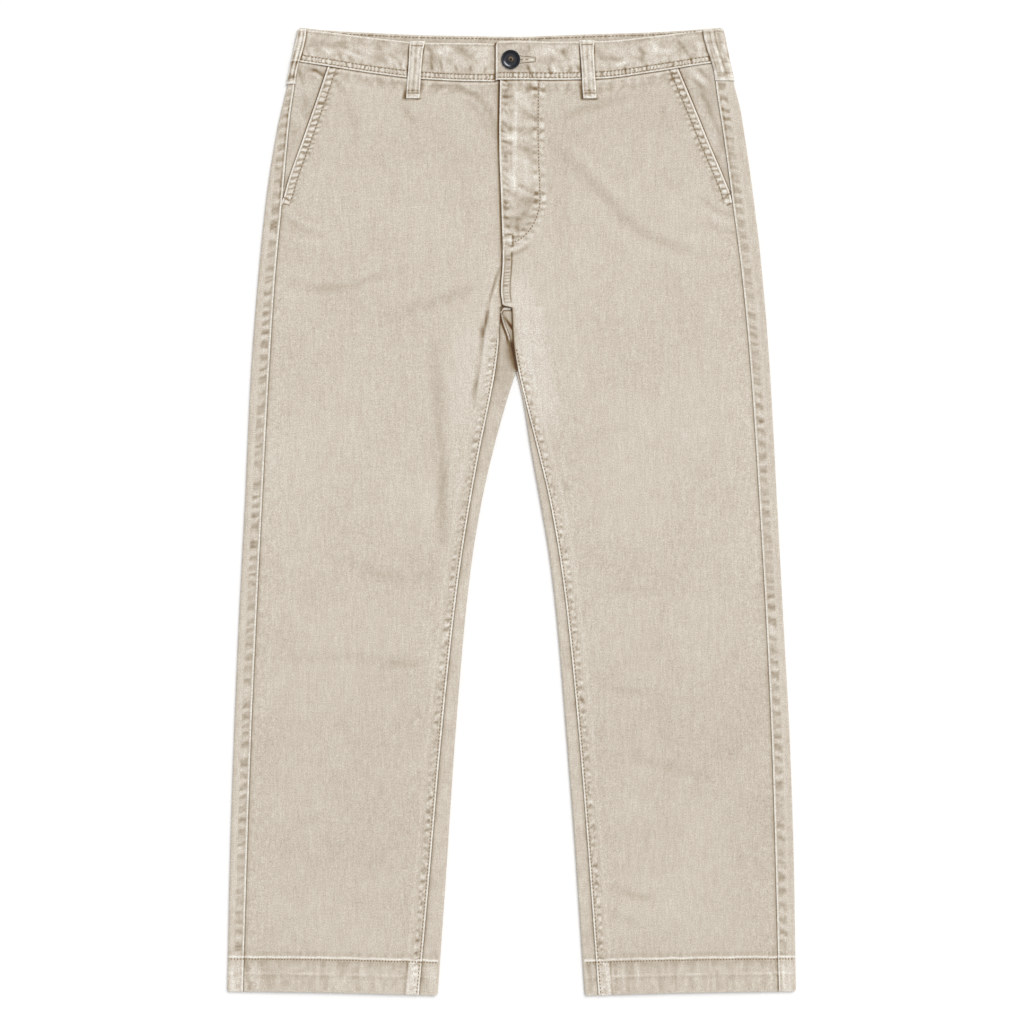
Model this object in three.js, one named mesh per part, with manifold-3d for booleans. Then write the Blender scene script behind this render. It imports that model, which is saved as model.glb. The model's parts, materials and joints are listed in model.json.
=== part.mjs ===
// Chino trousers, laid flat on their back. Millimetres, +X to the wearer's left, +Y to the waist, +Z up.
import * as THREE from "three";
import Module from "manifold-3d";
import { mergeVertices } from "three/addons/utils/BufferGeometryUtils.js";

const wasm = await Module();
wasm.setup();

// Cloth and clearances
const PANEL_WALL = 1.2;
const HEM_WALL = 2.0;
const WAISTBAND_WALL = 2.0;
const FACING_WALL = 1.0;
const LOOP_WALL = 1.5;
const SEAM_GAP = 0.3;
const LAYER_GAP = 0.35;

// Heights of the cloth's upper face above the surface that it lies on
const FOLD_HEIGHT = 4.8;
const CROWN_RISE = 1.1;
const CROWN_REACH = 60;
const CROTCH_SINK = 1.1;
const CROTCH_SINK_REACH = 35;
const GUSSET_SINK = 0.9;
const GUSSET_SINK_REACH = 25;
const UNDERLAP_HEIGHT = 4.2;
const UNDERLAP_HEIGHT_AT_CROTCH = 3.8;
const UNDERLAP_RAMP = 14;
const BAND_FOLD_HEIGHT = 5.2;
const BAND_RISE = 1.2;
const BAND_RISE_REACH = 40;
const BAND_UNDERLAP_HEIGHT = 4.6;
const BAND_OVERLAP_HEIGHT = 7.05;

// Small reliefs along seams and edges
const SEAM_RIDGE = 0.5;
const SEAM_VALLEY = 0.3;
const SEAM_RELIEF_REACH = 8;
const FLY_RELIEF = 0.4;
const HEM_RELIEF = 0.25;

// Lengths down the garment
const WAIST_SEAM = 486.5;
const WAIST_FADE_FROM = 300;
const POCKET_BOTTOM = 333;
const CROTCH_POINT = 219.2;
const CENTRE_FRONT_BOTTOM = 222;
const CROTCH_APEX = 151.2;
const APEX_X = 4.95;
const HEM = -518.1;
const HEM_STITCH = -483;
const HEM_DIP = 6.5;
const HEM_DIP_REACH = 200;
const HEM_CORNER = 2.5;

// Fly and waistband ends
const FLY_WIDTH = 42;
const FLY_STRAIGHT_BOTTOM = 342;
const FLY_BOTTOM = 289;
const FLY_UNDERLAP = 12;
const BAND_OVERLAP_END = -16.2;
const BAND_UNDERLAP_END = 16;
const BAND_CORNER = 3;
const BACK_BAND_DEPTH = 37.3;
const CENTRE_BACK_WAIST_X = -4;

// Pocket facing
const FACING_UNDERLAP = 8;
const FACING_BOTTOM = 327;
const FACING_LIFT = 1.1;
const FACING_LIFT_REACH = 18;

// Button and buttonhole
const BUTTON = { x: -0.2, y: 488.9, radius: 10.2, head: 2.3, dish: 0.9, shankRadius: 1.5, segments: 26 };
const BUTTONHOLE = { end: 26.5, halfWidth: 1.9 };

// Belt loops: centre line at the band's top and at the lower bar tack
const FRONT_LOOP_WIDTH = 15.2;
const FRONT_LOOP_BOTTOM = 446;
const FRONT_LOOP_STAND = 1.5;
const SIDE_LOOP_FOLD = 2.6;
const SIDE_LOOP_END_ANGLE = -33;
const FRONT_LOOPS = [
  { side: -1, name: "belt_loop_front_right", topX: -101.5, bottomX: -106.2 },
  { side: 1, name: "belt_loop_front_left", topX: 81.5, bottomX: 85.3 },
];
const SIDE_LOOPS = [
  { side: -1, name: "belt_loop_side_right", topY: 521.2, topX: -223.2, bottomY: 462.4, bottomX: -233.6 },
  { side: 1, name: "belt_loop_side_left", topY: 521.2, topX: 208.2, bottomY: 466, bottomX: 220.2 },
];

// Side folds and outseams down the garment, from the waistband's top to the hem
const OUTER_SECTIONS = table(["y", "rightFold", "rightOutseam", "leftOutseam", "leftFold"], [
  [524.0, -228.9, -227.0, 213.5, 227.1],
  [486.5, -236.8, -231.2, 219.2, 234.8],
  [463.3, -241.6, -233.8, 221.2, 240.2],
  [434.2, -248.6, -238.1, 226.0, 247.6],
  [412.6, -253.3, -240.8, 229.3, 251.1],
  [337.0, -265.1, -248.4, 239.2, 261.9],
  [250.6, -273.8, -256.2, 249.4, 271.4],
  [151.2, -281.3, -262.1, 260.0, 279.2],
  [13.0, -287.8, -269.5, 269.5, 286.7],
  [-116.6, -294.3, -276.5, 277.0, 293.2],
  [-246.2, -299.7, -282.4, 282.4, 300.8],
  [-375.8, -304.0, -286.7, 286.7, 305.1],
  [-519.5, -307.3, -291.1, 290.5, 307.3],
]);

// Inseams and inner folds of the legs, from the crotch point to the hem
const INSEAM_SECTIONS = table(["y", "right", "left"], [
  [219.2, -11.1, 0.5],
  [185.8, -13.0, 2.2],
  [151.2, -17.8, 8.4],
  [121.0, -24.1, 16.0],
  [67.0, -35.1, 29.7],
  [13.0, -44.8, 42.4],
  [-51.8, -55.3, 53.5],
  [-116.6, -63.2, 62.1],
  [-246.2, -76.1, 75.1],
  [-375.8, -87.5, 85.1],
  [-519.5, -100.4, 95.3],
]);
const INNER_FOLD_SECTIONS = table(["y", "right", "left"], [
  [151.2, 4.8, 5.1],
  [121.0, -4.9, 12.4],
  [67.0, -19.7, 21.1],
  [13.0, -31.9, 30.8],
  [-51.8, -42.7, 41.6],
  [-116.6, -50.2, 49.1],
  [-246.2, -61.0, 59.9],
  [-375.8, -69.7, 69.7],
  [-519.5, -79.9, 79.4],
]);

// Centre front edge of the overlapping front, and the seat seam where it comes round to the front
const CENTRE_FRONT = table(["y", "x"], [
  [486.5, -11.6],
  [412.6, -12.7],
  [337.0, -10.6],
  [272.2, -8.7],
  [239.8, -10.0],
  [222.0, -8.3],
]);
const SEAT_SEAM = table(["y", "x"], [
  [219.2, -10.6],
  [203.0, -6.6],
  [191.2, -2.4],
  [180.4, 0.3],
  [166.3, 2.7],
  [151.2, 4.9],
]);

// Slanted pocket openings
const POCKET_SLANT = table(["y", "right", "left"], [
  [486.5, -196.2, 178.6],
  [459.0, -205.7, 190.3],
  [430.9, -215.5, 201.8],
  [399.6, -226.3, 214.2],
  [358.6, -240.3, 231.2],
  [342.4, -244.8, 237.3],
  [333.0, -248.2, 239.2],
]);

// Upper edges of the waistband's back and front, and the front waist seam, across the garment
const WAIST_SECTIONS = table(["x", "backTop", "frontTop", "frontSeam"], [
  [-230.6, 523.8, 521.6, 486.5],
  [-200.3, 520.6, 518.4, 481.7],
  [-146.3, 517.3, 511.4, 473.0],
  [-92.3, 514.6, 506.0, 466.6],
  [-38.3, 512.5, 505.4, 464.1],
  [42.7, 513.5, 506.5, 465.5],
  [96.7, 516.2, 508.1, 467.6],
  [150.7, 518.4, 513.5, 474.7],
  [204.7, 521.6, 520.0, 483.3],
  [228.4, 523.8, 522.2, 486.5],
]);

// The largest folds of the fronts: a path, how far each side it reaches and how high (or deep) it is
const FOLDS = [
  { side: -1, path: [[-14, 262], [-26, 216], [-34, 168], [-41, 118]], reach: 11, height: -0.8 },
  { side: -1, path: [[-77, 190], [-74, 132], [-72, 76], [-67, -20]], reach: 13, height: -0.7 },
  { side: -1, path: [[-46, 226], [-55, 164], [-58, 90]], reach: 13, height: 0.5 },
  { side: -1, path: [[-226, 247], [-193, 241], [-160, 248], [-112, 268]], reach: 11, height: -0.5 },
  { side: -1, path: [[-160, 185], [-118, 210], [-70, 231]], reach: 11, height: -0.5 },
  { side: -1, path: [[-182, -50], [-146, -70], [-95, -75]], reach: 13, height: -0.5 },
  { side: -1, path: [[-246, -163], [-180, -157], [-98, -162]], reach: 13, height: -0.5 },
  { side: -1, path: [[-84, 461], [-52, 452], [-30, 430]], reach: 11, height: -0.5 },
  { side: 1, path: [[45, 394], [91, 353], [124, 320], [162, 298], [225, 283]], reach: 13, height: -0.8 },
  { side: 1, path: [[62, 412], [108, 371], [150, 334]], reach: 13, height: 0.4 },
  { side: 1, path: [[48, 415], [86, 426], [140, 446]], reach: 11, height: -0.4 },
  { side: 1, path: [[20, 246], [30, 205], [38, 162]], reach: 12, height: 0.45 },
  { side: 1, path: [[64, 68], [110, 92], [150, 82]], reach: 13, height: -0.5 },
  { side: 1, path: [[100, -86], [160, -87]], reach: 13, height: -0.5 },
  { side: 1, path: [[100, -190], [148, -194]], reach: 13, height: -0.4 },
  { side: 1, path: [[120, -264], [178, -276], [226, -285]], reach: 13, height: -0.5 },
];

// Rows and columns of the panels' grids
const ROWS_BELOW_APEX = [
  HEM, HEM_STITCH - 1.5, HEM_STITCH + 3, -430, -376, -311, -246, -196, -163, -120, -74,
  -30, 13, 50, 84, 121, 138, CROTCH_APEX,
];
const ROWS_BESIDE_GUSSET = [168, 185.8, 203, 216.4];
const ROWS_ABOVE_CROTCH = [
  CENTRE_FRONT_BOTTOM, 240, 262, 287, 310, POCKET_BOTTOM, 360, 393, 425, 455, WAIST_SEAM,
];
const FACING_ROWS = [FACING_BOTTOM, POCKET_BOTTOM, 345, 360, 376, 393, 409, 425, 440, 455, WAIST_SEAM];
const FRONT_ROWS = [...ROWS_BELOW_APEX, ...ROWS_BESIDE_GUSSET, 218.6, ...ROWS_ABOVE_CROTCH];
const FOLD_STEPS = 6;
const UNDERSIDE_STEPS = [0, 0.2, 0.4, 0.6, 0.8, 1];

const CLOTH_COLOUR = 0xd1c7b8;
const BUTTON_COLOUR = 0x3f4147;

// Reads rows of numbers into one list per named column
function table(columns, rows) {
  const lists = {};
  columns.forEach((column, index) => {
    lists[column] = rows.map((row) => row[index]);
  });
  return lists;
}

// Monotone cubic through a table's points, held level beyond its ends
function curve(positions, values) {
  const rising = positions[0] < positions.at(-1);
  const at = rising ? positions : [...positions].reverse();
  const value = rising ? values : [...values].reverse();
  const slopes = at.slice(1).map((next, i) => (value[i + 1] - value[i]) / (next - at[i]));
  const tangents = at.map((_, i) => {
    if (i === 0) return slopes[0];
    if (i === at.length - 1) return slopes.at(-1);
    const product = slopes[i - 1] * slopes[i];
    return product <= 0 ? 0 : (2 * product) / (slopes[i - 1] + slopes[i]);
  });
  return (wanted) => {
    const place = THREE.MathUtils.clamp(wanted, at[0], at.at(-1));
    let i = 0;
    while (i < at.length - 2 && place > at[i + 1]) i += 1;
    const span = at[i + 1] - at[i];
    const t = (place - at[i]) / span;
    const near = (1 + 2 * t) * (1 - t) ** 2 * value[i] + t * (1 - t) ** 2 * span * tangents[i];
    return near + t * t * (3 - 2 * t) * value[i + 1] + t * t * (t - 1) * span * tangents[i + 1];
  };
}

const ease = (t) => THREE.MathUtils.smoothstep(t, 0, 1);
const mix = THREE.MathUtils.lerp;

const outerFold = {
  [-1]: curve(OUTER_SECTIONS.y, OUTER_SECTIONS.rightFold),
  1: curve(OUTER_SECTIONS.y, OUTER_SECTIONS.leftFold),
};
const outseam = {
  [-1]: curve(OUTER_SECTIONS.y, OUTER_SECTIONS.rightOutseam),
  1: curve(OUTER_SECTIONS.y, OUTER_SECTIONS.leftOutseam),
};
const inseam = {
  [-1]: curve(INSEAM_SECTIONS.y, INSEAM_SECTIONS.right),
  1: curve(INSEAM_SECTIONS.y, INSEAM_SECTIONS.left),
};
const innerFold = {
  [-1]: curve(INNER_FOLD_SECTIONS.y, INNER_FOLD_SECTIONS.right),
  1: curve(INNER_FOLD_SECTIONS.y, INNER_FOLD_SECTIONS.left),
};
const pocketSlant = {
  [-1]: curve(POCKET_SLANT.y, POCKET_SLANT.right),
  1: curve(POCKET_SLANT.y, POCKET_SLANT.left),
};
const centreFront = curve(CENTRE_FRONT.y, CENTRE_FRONT.x);
const seatSeam = curve(SEAT_SEAM.y, SEAT_SEAM.x);
const backTop = curve(WAIST_SECTIONS.x, WAIST_SECTIONS.backTop);
const frontTop = curve(WAIST_SECTIONS.x, WAIST_SECTIONS.frontTop);
const frontSeam = curve(WAIST_SECTIONS.x, WAIST_SECTIONS.frontSeam);
const backSeam = (x) => backTop(x) - BACK_BAND_DEPTH;
const centreBack = (y) => mix(APEX_X, CENTRE_BACK_WAIST_X, (y - CROTCH_APEX) / (WAIST_SEAM - CROTCH_APEX));

// Distance from a point to a path of straight stretches
function distanceToPath(x, y, path) {
  let nearest = Infinity;
  for (let i = 0; i < path.length - 1; i += 1) {
    const [ax, ay] = path[i];
    const [bx, by] = path[i + 1];
    const along = ((x - ax) * (bx - ax) + (y - ay) * (by - ay)) / ((bx - ax) ** 2 + (by - ay) ** 2);
    const t = THREE.MathUtils.clamp(along, 0, 1);
    nearest = Math.min(nearest, Math.hypot(x - mix(ax, bx, t), y - mix(ay, by, t)));
  }
  return nearest;
}

// Height of one side's upper cloth. side is -1 for the wearer's right and +1 for the left
function clothHeight(side, x, y) {
  const fromOuter = Math.max(0, side * (outerFold[side](y) - x));
  const fromApex = Math.hypot(x - APEX_X, y - CROTCH_APEX);
  const fromInner = y < CROTCH_APEX ? Math.max(0, side * (x - innerFold[side](y))) : fromApex;
  const crown = CROWN_RISE * ease(fromOuter / CROWN_REACH) * ease(fromInner / CROWN_REACH);
  const sink = CROTCH_SINK * Math.exp(-((fromApex / CROTCH_SINK_REACH) ** 2));
  let relief = 0;
  for (const fold of FOLDS) {
    if (fold.side === side) {
      relief += fold.height * Math.exp(-((distanceToPath(x, y, fold.path) / fold.reach) ** 2));
    }
  }
  if (y < HEM_STITCH) relief += HEM_RELIEF;
  return FOLD_HEIGHT + crown - sink + relief * ease(Math.min(fromOuter, fromInner) / 12);
}

const underlapHeight = (y) =>
  mix(UNDERLAP_HEIGHT_AT_CROTCH, UNDERLAP_HEIGHT, ease((y - CENTRE_FRONT_BOTTOM) / 70));

// The right front sinks under the left one's edge
function rightFrontHeight(x, y) {
  const under = ease((x - centreFront(y) + UNDERLAP_RAMP + 2) / UNDERLAP_RAMP) * ease((y - 195) / 30);
  return mix(clothHeight(-1, x, y), underlapHeight(y), under);
}

// The left front stands proud over the fly facing, inside the curved line of its stitching
function leftFrontHeight(x, y) {
  const fromEdge = THREE.MathUtils.clamp((x - centreFront(y)) / FLY_WIDTH, 0, 1);
  const depth = FLY_STRAIGHT_BOTTOM - FLY_BOTTOM;
  const bottom = FLY_STRAIGHT_BOTTOM - depth * Math.sqrt(1 - fromEdge ** 2);
  const inside = ease((FLY_WIDTH - (x - centreFront(y))) / 4) * ease((y - bottom) / 8);
  return clothHeight(1, x, y) + FLY_RELIEF * inside;
}

// A front's height with the relief of the seams along both its edges
function frontHeight(side, x, y, bounds) {
  const height = side < 0 ? rightFrontHeight(x, y) : leftFrontHeight(x, y);
  const nearOuter = 1 - ease(Math.abs(x - bounds.outer) / SEAM_RELIEF_REACH);
  const nearInner = 1 - ease(Math.abs(x - bounds.inner) / SEAM_RELIEF_REACH);
  const outerRelief = y > POCKET_BOTTOM ? SEAM_VALLEY : -SEAM_VALLEY;
  const innerRelief = y < CROTCH_POINT ? SEAM_RIDGE * ease((CROTCH_POINT - y) / 40) : 0;
  return height + outerRelief * nearOuter + innerRelief * nearInner;
}

const bandHeight = {
  [-1]: (x, y) => {
    const plain = BAND_FOLD_HEIGHT + BAND_RISE * ease((x - outerFold[-1](y)) / BAND_RISE_REACH);
    return mix(plain, BAND_UNDERLAP_HEIGHT, ease((x + 36) / 18));
  },
  1: (x, y) => {
    const plain = BAND_FOLD_HEIGHT + BAND_RISE * ease((outerFold[1](y) - x) / BAND_RISE_REACH);
    return mix(BAND_OVERLAP_HEIGHT, plain, ease((x - 28) / 30));
  },
};

// A row's place at x: rows bend with the waist seam above and with the hem below
function rowPlace(side, row, x, under) {
  const waist = mix(frontSeam(x), backSeam(x), under) - WAIST_SEAM;
  const upper = ease((row - WAIST_FADE_FROM) / (WAIST_SEAM - WAIST_FADE_FROM));
  const lower = 1 - ease((row - HEM) / HEM_DIP_REACH);
  const outer = outerFold[side](row);
  const across = row < CROTCH_APEX ? (x - outer) / (innerFold[side](row) - outer) : 0;
  const edge = row === WAIST_SEAM ? SEAM_GAP / 2 : 0;
  return row + waist * upper - HEM_DIP * lower * across - edge;
}

// A sheet of cloth points joined by four-sided faces; its solid is the sheet and its copy one wall further in
class Sheet {
  constructor() {
    this.points = [];
    this.faces = [];
  }

  point(x, y, z, normal, wall) {
    this.points.push({ at: new THREE.Vector3(x, y, z), normal, wall });
    return this.points.length - 1;
  }

  joinRows(lower, upper) {
    for (let i = 0; i < lower.length - 1; i += 1) {
      this.faces.push([lower[i], lower[i + 1], upper[i + 1], upper[i]]);
    }
  }

  joinAll(rows) {
    rows.slice(1).forEach((row, index) => this.joinRows(rows[index], row));
  }

  solid() {
    const count = this.points.length;
    const outer = this.points.map((point) => point.at);
    const inner = this.points.map((point) => point.at.clone().addScaledVector(point.normal, -point.wall));
    const triangles = [];
    const openEdges = new Map();
    for (const [a, b, c, d] of this.faces) {
      triangles.push([a, b, c], [a, c, d]);
      triangles.push([a + count, c + count, b + count], [a + count, d + count, c + count]);
      for (const [from, to] of [[a, b], [b, c], [c, d], [d, a]]) {
        if (!openEdges.delete(`${to},${from}`)) openEdges.set(`${from},${to}`, [from, to]);
      }
    }
    for (const [from, to] of openEdges.values()) {
      triangles.push([to, from, from + count], [to, from + count, to + count]);
    }
    return facingOut([...outer, ...inner], triangles);
  }
}

const UP = new THREE.Vector3(0, 0, 1);
const DOWN = new THREE.Vector3(0, 0, -1);

// A geometry of these points and triangles, turned round if they enclose a negative volume
function facingOut(points, triangles) {
  let volume = 0;
  for (const [a, b, c] of triangles) {
    volume += points[a].dot(new THREE.Vector3().crossVectors(points[b], points[c]));
  }
  const order = volume < 0 ? triangles.map(([a, b, c]) => [a, c, b]) : triangles;
  const geometry = new THREE.BufferGeometry();
  geometry.setAttribute("position", new THREE.Float32BufferAttribute(points.flatMap((p) => p.toArray()), 3));
  geometry.setIndex(order.flat());
  geometry.computeVertexNormals();
  return geometry;
}

// Columns between two bounds: given distances from each bound, and the rest evenly between them
function columns(from, to, nearFrom, nearTo, between) {
  const direction = Math.sign(to - from);
  const start = nearFrom.map((distance) => from + direction * distance);
  const end = nearTo.map((distance) => to - direction * distance).reverse();
  const middle = [];
  for (let i = 1; i <= between; i += 1) middle.push(mix(start.at(-1), end[0], i / (between + 1)));
  return [...start, ...middle, ...end];
}

// Where a front's edges run at one row
function frontBounds(side, row) {
  let outer = outseam[side](row) - (side * SEAM_GAP) / 2;
  if (row >= POCKET_BOTTOM) {
    outer = pocketSlant[side](row);
    outer = pocketSlant[side](rowPlace(side, row, outer, 0));
  }
  if (row < CROTCH_POINT) return { outer, inner: inseam[side](row) + (side * SEAM_GAP) / 2 };
  const lap = side < 0 ? FLY_UNDERLAP * ease((row - 205) / 90) : 0;
  return { outer, inner: centreFront(row) + lap };
}

function frontPanel(side) {
  const sheet = new Sheet();
  const nearInner = side < 0 ? [0, 6, 12, 20, 32] : [0, 5, 14, 24, 37, 43];
  const rows = FRONT_ROWS.map((row) => {
    const bounds = frontBounds(side, row);
    const wall = row < HEM_STITCH ? HEM_WALL : PANEL_WALL;
    return columns(bounds.outer, bounds.inner, [0, 7, 16], nearInner, 8).map((x) => {
      const y = rowPlace(side, row, x, 0);
      return sheet.point(x, y, frontHeight(side, x, y, bounds), UP, wall);
    });
  });
  sheet.joinAll(rows);
  return sheet.solid();
}

// Half a turn round a fold, from its upper end to its lower end or back; across points away from the panel
function foldPoints(foldX, across, height, upToDown) {
  const radius = height / 2;
  const points = [];
  for (let step = 1; step < FOLD_STEPS; step += 1) {
    const turned = (Math.PI * step) / FOLD_STEPS;
    const angle = upToDown ? Math.PI / 2 - turned : turned - Math.PI / 2;
    const normal = new THREE.Vector3(across * Math.cos(angle), 0, Math.sin(angle));
    points.push({
      x: foldX - across * radius + normal.x * radius,
      z: radius + normal.z * radius,
      normal,
      under: (1 - Math.sin(angle)) / 2,
    });
  }
  return points;
}

// The back's points at one row: from the outseam round the side fold and under to the inner side
function backOuterPoints(side, row, innerEnd) {
  const fold = outerFold[side](row);
  const seam = outseam[side](row) + (side * SEAM_GAP) / 2;
  const height = clothHeight(side, fold, row);
  const top = fold - (side * height) / 2;
  const seamHeight = clothHeight(side, seam, row) + SEAM_RIDGE;
  const middle = mix(seam, top, 0.55);
  return [
    { x: seam, z: seamHeight, normal: UP, under: 0 },
    { x: middle, z: clothHeight(side, middle, row) + SEAM_RIDGE * 0.2, normal: UP, under: 0 },
    { x: top, z: height, normal: UP, under: 0 },
    ...foldPoints(fold, side, height, true),
    ...UNDERSIDE_STEPS.map((t) => ({ x: mix(top, innerEnd, t), z: 0, normal: DOWN, under: 1 })),
  ];
}

// The back's strip beside the inseam, from its fold or the seat seam to the inseam
function backInnerPoints(side, row, start, startHeight, sink) {
  const seam = inseam[side](row) - (side * SEAM_GAP) / 2;
  const middle = mix(start, seam, 0.5);
  return [
    { x: start, z: startHeight, normal: UP, under: 0 },
    { x: middle, z: clothHeight(side, middle, row) - sink, normal: UP, under: 0 },
    { x: seam, z: clothHeight(side, seam, row) - Math.max(sink, SEAM_VALLEY), normal: UP, under: 0 },
  ];
}

function backPanel(side) {
  const sheet = new Sheet();
  const place = (row) => (point) => {
    const wall = row < HEM_STITCH ? HEM_WALL : PANEL_WALL;
    const corner = row === HEM ? HEM_CORNER * Math.abs(point.normal.x) : 0;
    const y = rowPlace(side, row, point.x, point.under) + corner;
    return sheet.point(point.x, y, point.z, point.normal, wall);
  };
  const legRows = ROWS_BELOW_APEX.map((row) => {
    const fold = innerFold[side](row);
    const height = clothHeight(side, fold, row);
    const top = fold + (side * height) / 2;
    return [
      ...backOuterPoints(side, row, top),
      ...foldPoints(fold, -side, height, false),
      ...backInnerPoints(side, row, top, height, 0),
    ].map(place(row));
  });
  sheet.joinAll(legRows);

  const apexRow = legRows.at(-1);
  const seatRows = [...ROWS_BESIDE_GUSSET, ...ROWS_ABOVE_CROTCH].map((row) => {
    const innerEnd = centreBack(row) + (side * SEAM_GAP) / 2;
    return backOuterPoints(side, row, innerEnd).map(place(row));
  });
  sheet.joinAll([apexRow.slice(0, seatRows[0].length), ...seatRows]);

  const gussetRows = ROWS_BESIDE_GUSSET.map((row) => {
    const start = seatSeam(row) + (side * SEAM_GAP) / 2;
    const sink = GUSSET_SINK * ease((row - CROTCH_APEX) / GUSSET_SINK_REACH);
    return backInnerPoints(side, row, start, clothHeight(side, start, row) - sink, sink).map(place(row));
  });
  sheet.joinAll([apexRow.slice(-gussetRows[0].length), ...gussetRows]);
  return sheet.solid();
}

// The facing behind a slanted pocket: under the front beside the slant, rising to the outseam
function pocketFacing(side) {
  const sheet = new Sheet();
  const rows = FACING_ROWS.map((row) => {
    const seam = outseam[side](row) - side * SEAM_GAP;
    const slant = pocketSlant[side](rowPlace(side, row, pocketSlant[side](row), 0));
    const inner = slant - side * FACING_UNDERLAP;
    return columns(seam, inner, [0], [0], 4).map((x) => {
      const y = rowPlace(side, row, x, 0);
      const lift = FACING_LIFT * ease((side * (x - slant)) / FACING_LIFT_REACH);
      const z = clothHeight(side, x, y) - PANEL_WALL - LAYER_GAP + lift;
      return sheet.point(x, y, z, UP, FACING_WALL);
    });
  });
  sheet.joinAll(rows);
  return sheet.solid();
}

// Half the waistband: from its end at the centre front, round the side fold, to the centre back
function waistband(side) {
  const sheet = new Sheet();
  const end = side < 0 ? BAND_UNDERLAP_END : BAND_OVERLAP_END;
  const nearEnd = side < 0 ? [0, 18, 34, 43, 52] : [0, 4, 22, 44, 60, 76];
  const rows = [0, 0.33, 0.67, 1].map((level) => {
    const place = (point) => {
      const bottom = mix(frontSeam(point.x), backSeam(point.x), point.under) + SEAM_GAP / 2;
      const top = mix(frontTop(point.x), backTop(point.x), point.under);
      const corner = side > 0 && level === 1 && point.x === end ? BAND_CORNER : 0;
      return sheet.point(point.x, mix(bottom, top, level) - corner, point.z, point.normal, WAISTBAND_WALL);
    };
    const y = mix(WAIST_SEAM, frontTop(outerFold[side](WAIST_SEAM)), level);
    const fold = outerFold[side](y);
    const top = fold - (side * BAND_FOLD_HEIGHT) / 2;
    const centre = CENTRE_BACK_WAIST_X + (side * SEAM_GAP) / 2;
    const front = columns(end, top, nearEnd, [0, 9, 24], 5);
    const back = UNDERSIDE_STEPS.map((t) => mix(top, centre, t));
    return [
      ...front.map((x) => ({ x, z: bandHeight[side](x, y), normal: UP, under: 0 })),
      ...foldPoints(fold, side, BAND_FOLD_HEIGHT, true),
      ...back.map((x) => ({ x, z: 0, normal: DOWN, under: 1 })),
    ].map(place);
  });
  sheet.joinAll(rows);
  return sheet.solid();
}

// What a belt loop lies on: the waistband, and the panel below the waist seam
function loopGround(side, x, y, reach) {
  const onBand = ease((y - frontSeam(x) + reach) / reach);
  return mix(clothHeight(side, x, y), bandHeight[side](x, Math.max(y, WAIST_SEAM)), onBand);
}

function frontLoop({ side, topX, bottomX }) {
  const sheet = new Sheet();
  const top = frontTop(topX) - 0.4;
  const rows = [0, 0.08, 0.16, 0.28, 0.4, 0.52, 0.64, 0.76, 0.88, 1].map((level) => {
    const middle = mix(bottomX, topX, level);
    const y = mix(FRONT_LOOP_BOTTOM, top, level);
    const stand = FRONT_LOOP_STAND * Math.sin(Math.PI * ease(Math.max(0, level - 0.1) / 0.9));
    return [-0.5, -0.17, 0.17, 0.5].map((across) => {
      const x = middle + across * FRONT_LOOP_WIDTH;
      const z = loopGround(side, x, y, 14) + LAYER_GAP + stand + LOOP_WALL;
      return sheet.point(x, y, z, UP, LOOP_WALL);
    });
  });
  sheet.joinAll(rows);
  return sheet.solid();
}

// A side loop lies over the outseam strip and the band, and turns down round the side fold
function sideLoop({ side, topX, topY, bottomX, bottomY }) {
  const sheet = new Sheet();
  const inner = SIDE_LOOP_FOLD + LAYER_GAP;
  const rows = [0, 0.12, 0.25, 0.4, 0.55, 0.7, 0.85, 1].map((level) => {
    const y = mix(bottomY, topY, level);
    const edge = mix(bottomX, topX, ease(level));
    const centre = outerFold[side](y) - side * SIDE_LOOP_FOLD;
    const ground = (x) => Math.max(2 * SIDE_LOOP_FOLD, loopGround(side, x, y, 12) + SEAM_RIDGE) + LAYER_GAP;
    const flat = columns(edge, centre, [0], [0], 1).map((x) => {
      const z = ground(x) + LOOP_WALL;
      return sheet.point(x, y, z, UP, LOOP_WALL);
    });
    const rise = ground(centre) - SIDE_LOOP_FOLD;
    const turned = [62, 36, 12, -10, SIDE_LOOP_END_ANGLE].map((degrees) => {
      const angle = THREE.MathUtils.degToRad(degrees);
      const normal = new THREE.Vector3(side * Math.cos(angle), 0, Math.sin(angle));
      const upper = degrees > 0 ? rise : inner;
      const x = centre + normal.x * (inner + LOOP_WALL);
      const z = SIDE_LOOP_FOLD + Math.sin(angle) * upper + normal.z * LOOP_WALL;
      return sheet.point(x, y, z, normal, LOOP_WALL);
    });
    return [...flat, ...turned];
  });
  sheet.joinAll(rows);
  return sheet.solid();
}

// Geometry to a manifold solid and back, for the buttonhole
function toManifold(geometry) {
  const bare = geometry.clone();
  bare.deleteAttribute("normal");
  if (bare.hasAttribute("uv")) bare.deleteAttribute("uv");
  const merged = mergeVertices(bare);
  const vertProperties = new Float32Array(merged.attributes.position.array);
  const triVerts = new Uint32Array(merged.index.array);
  return new wasm.Manifold(new wasm.Mesh({ numProp: 3, vertProperties, triVerts }));
}

function toGeometry(manifold) {
  const mesh = manifold.getMesh();
  const geometry = new THREE.BufferGeometry();
  geometry.setAttribute("position", new THREE.BufferAttribute(mesh.vertProperties, 3));
  geometry.setIndex(new THREE.BufferAttribute(mesh.triVerts, 1));
  geometry.computeVertexNormals();
  return geometry;
}

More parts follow.
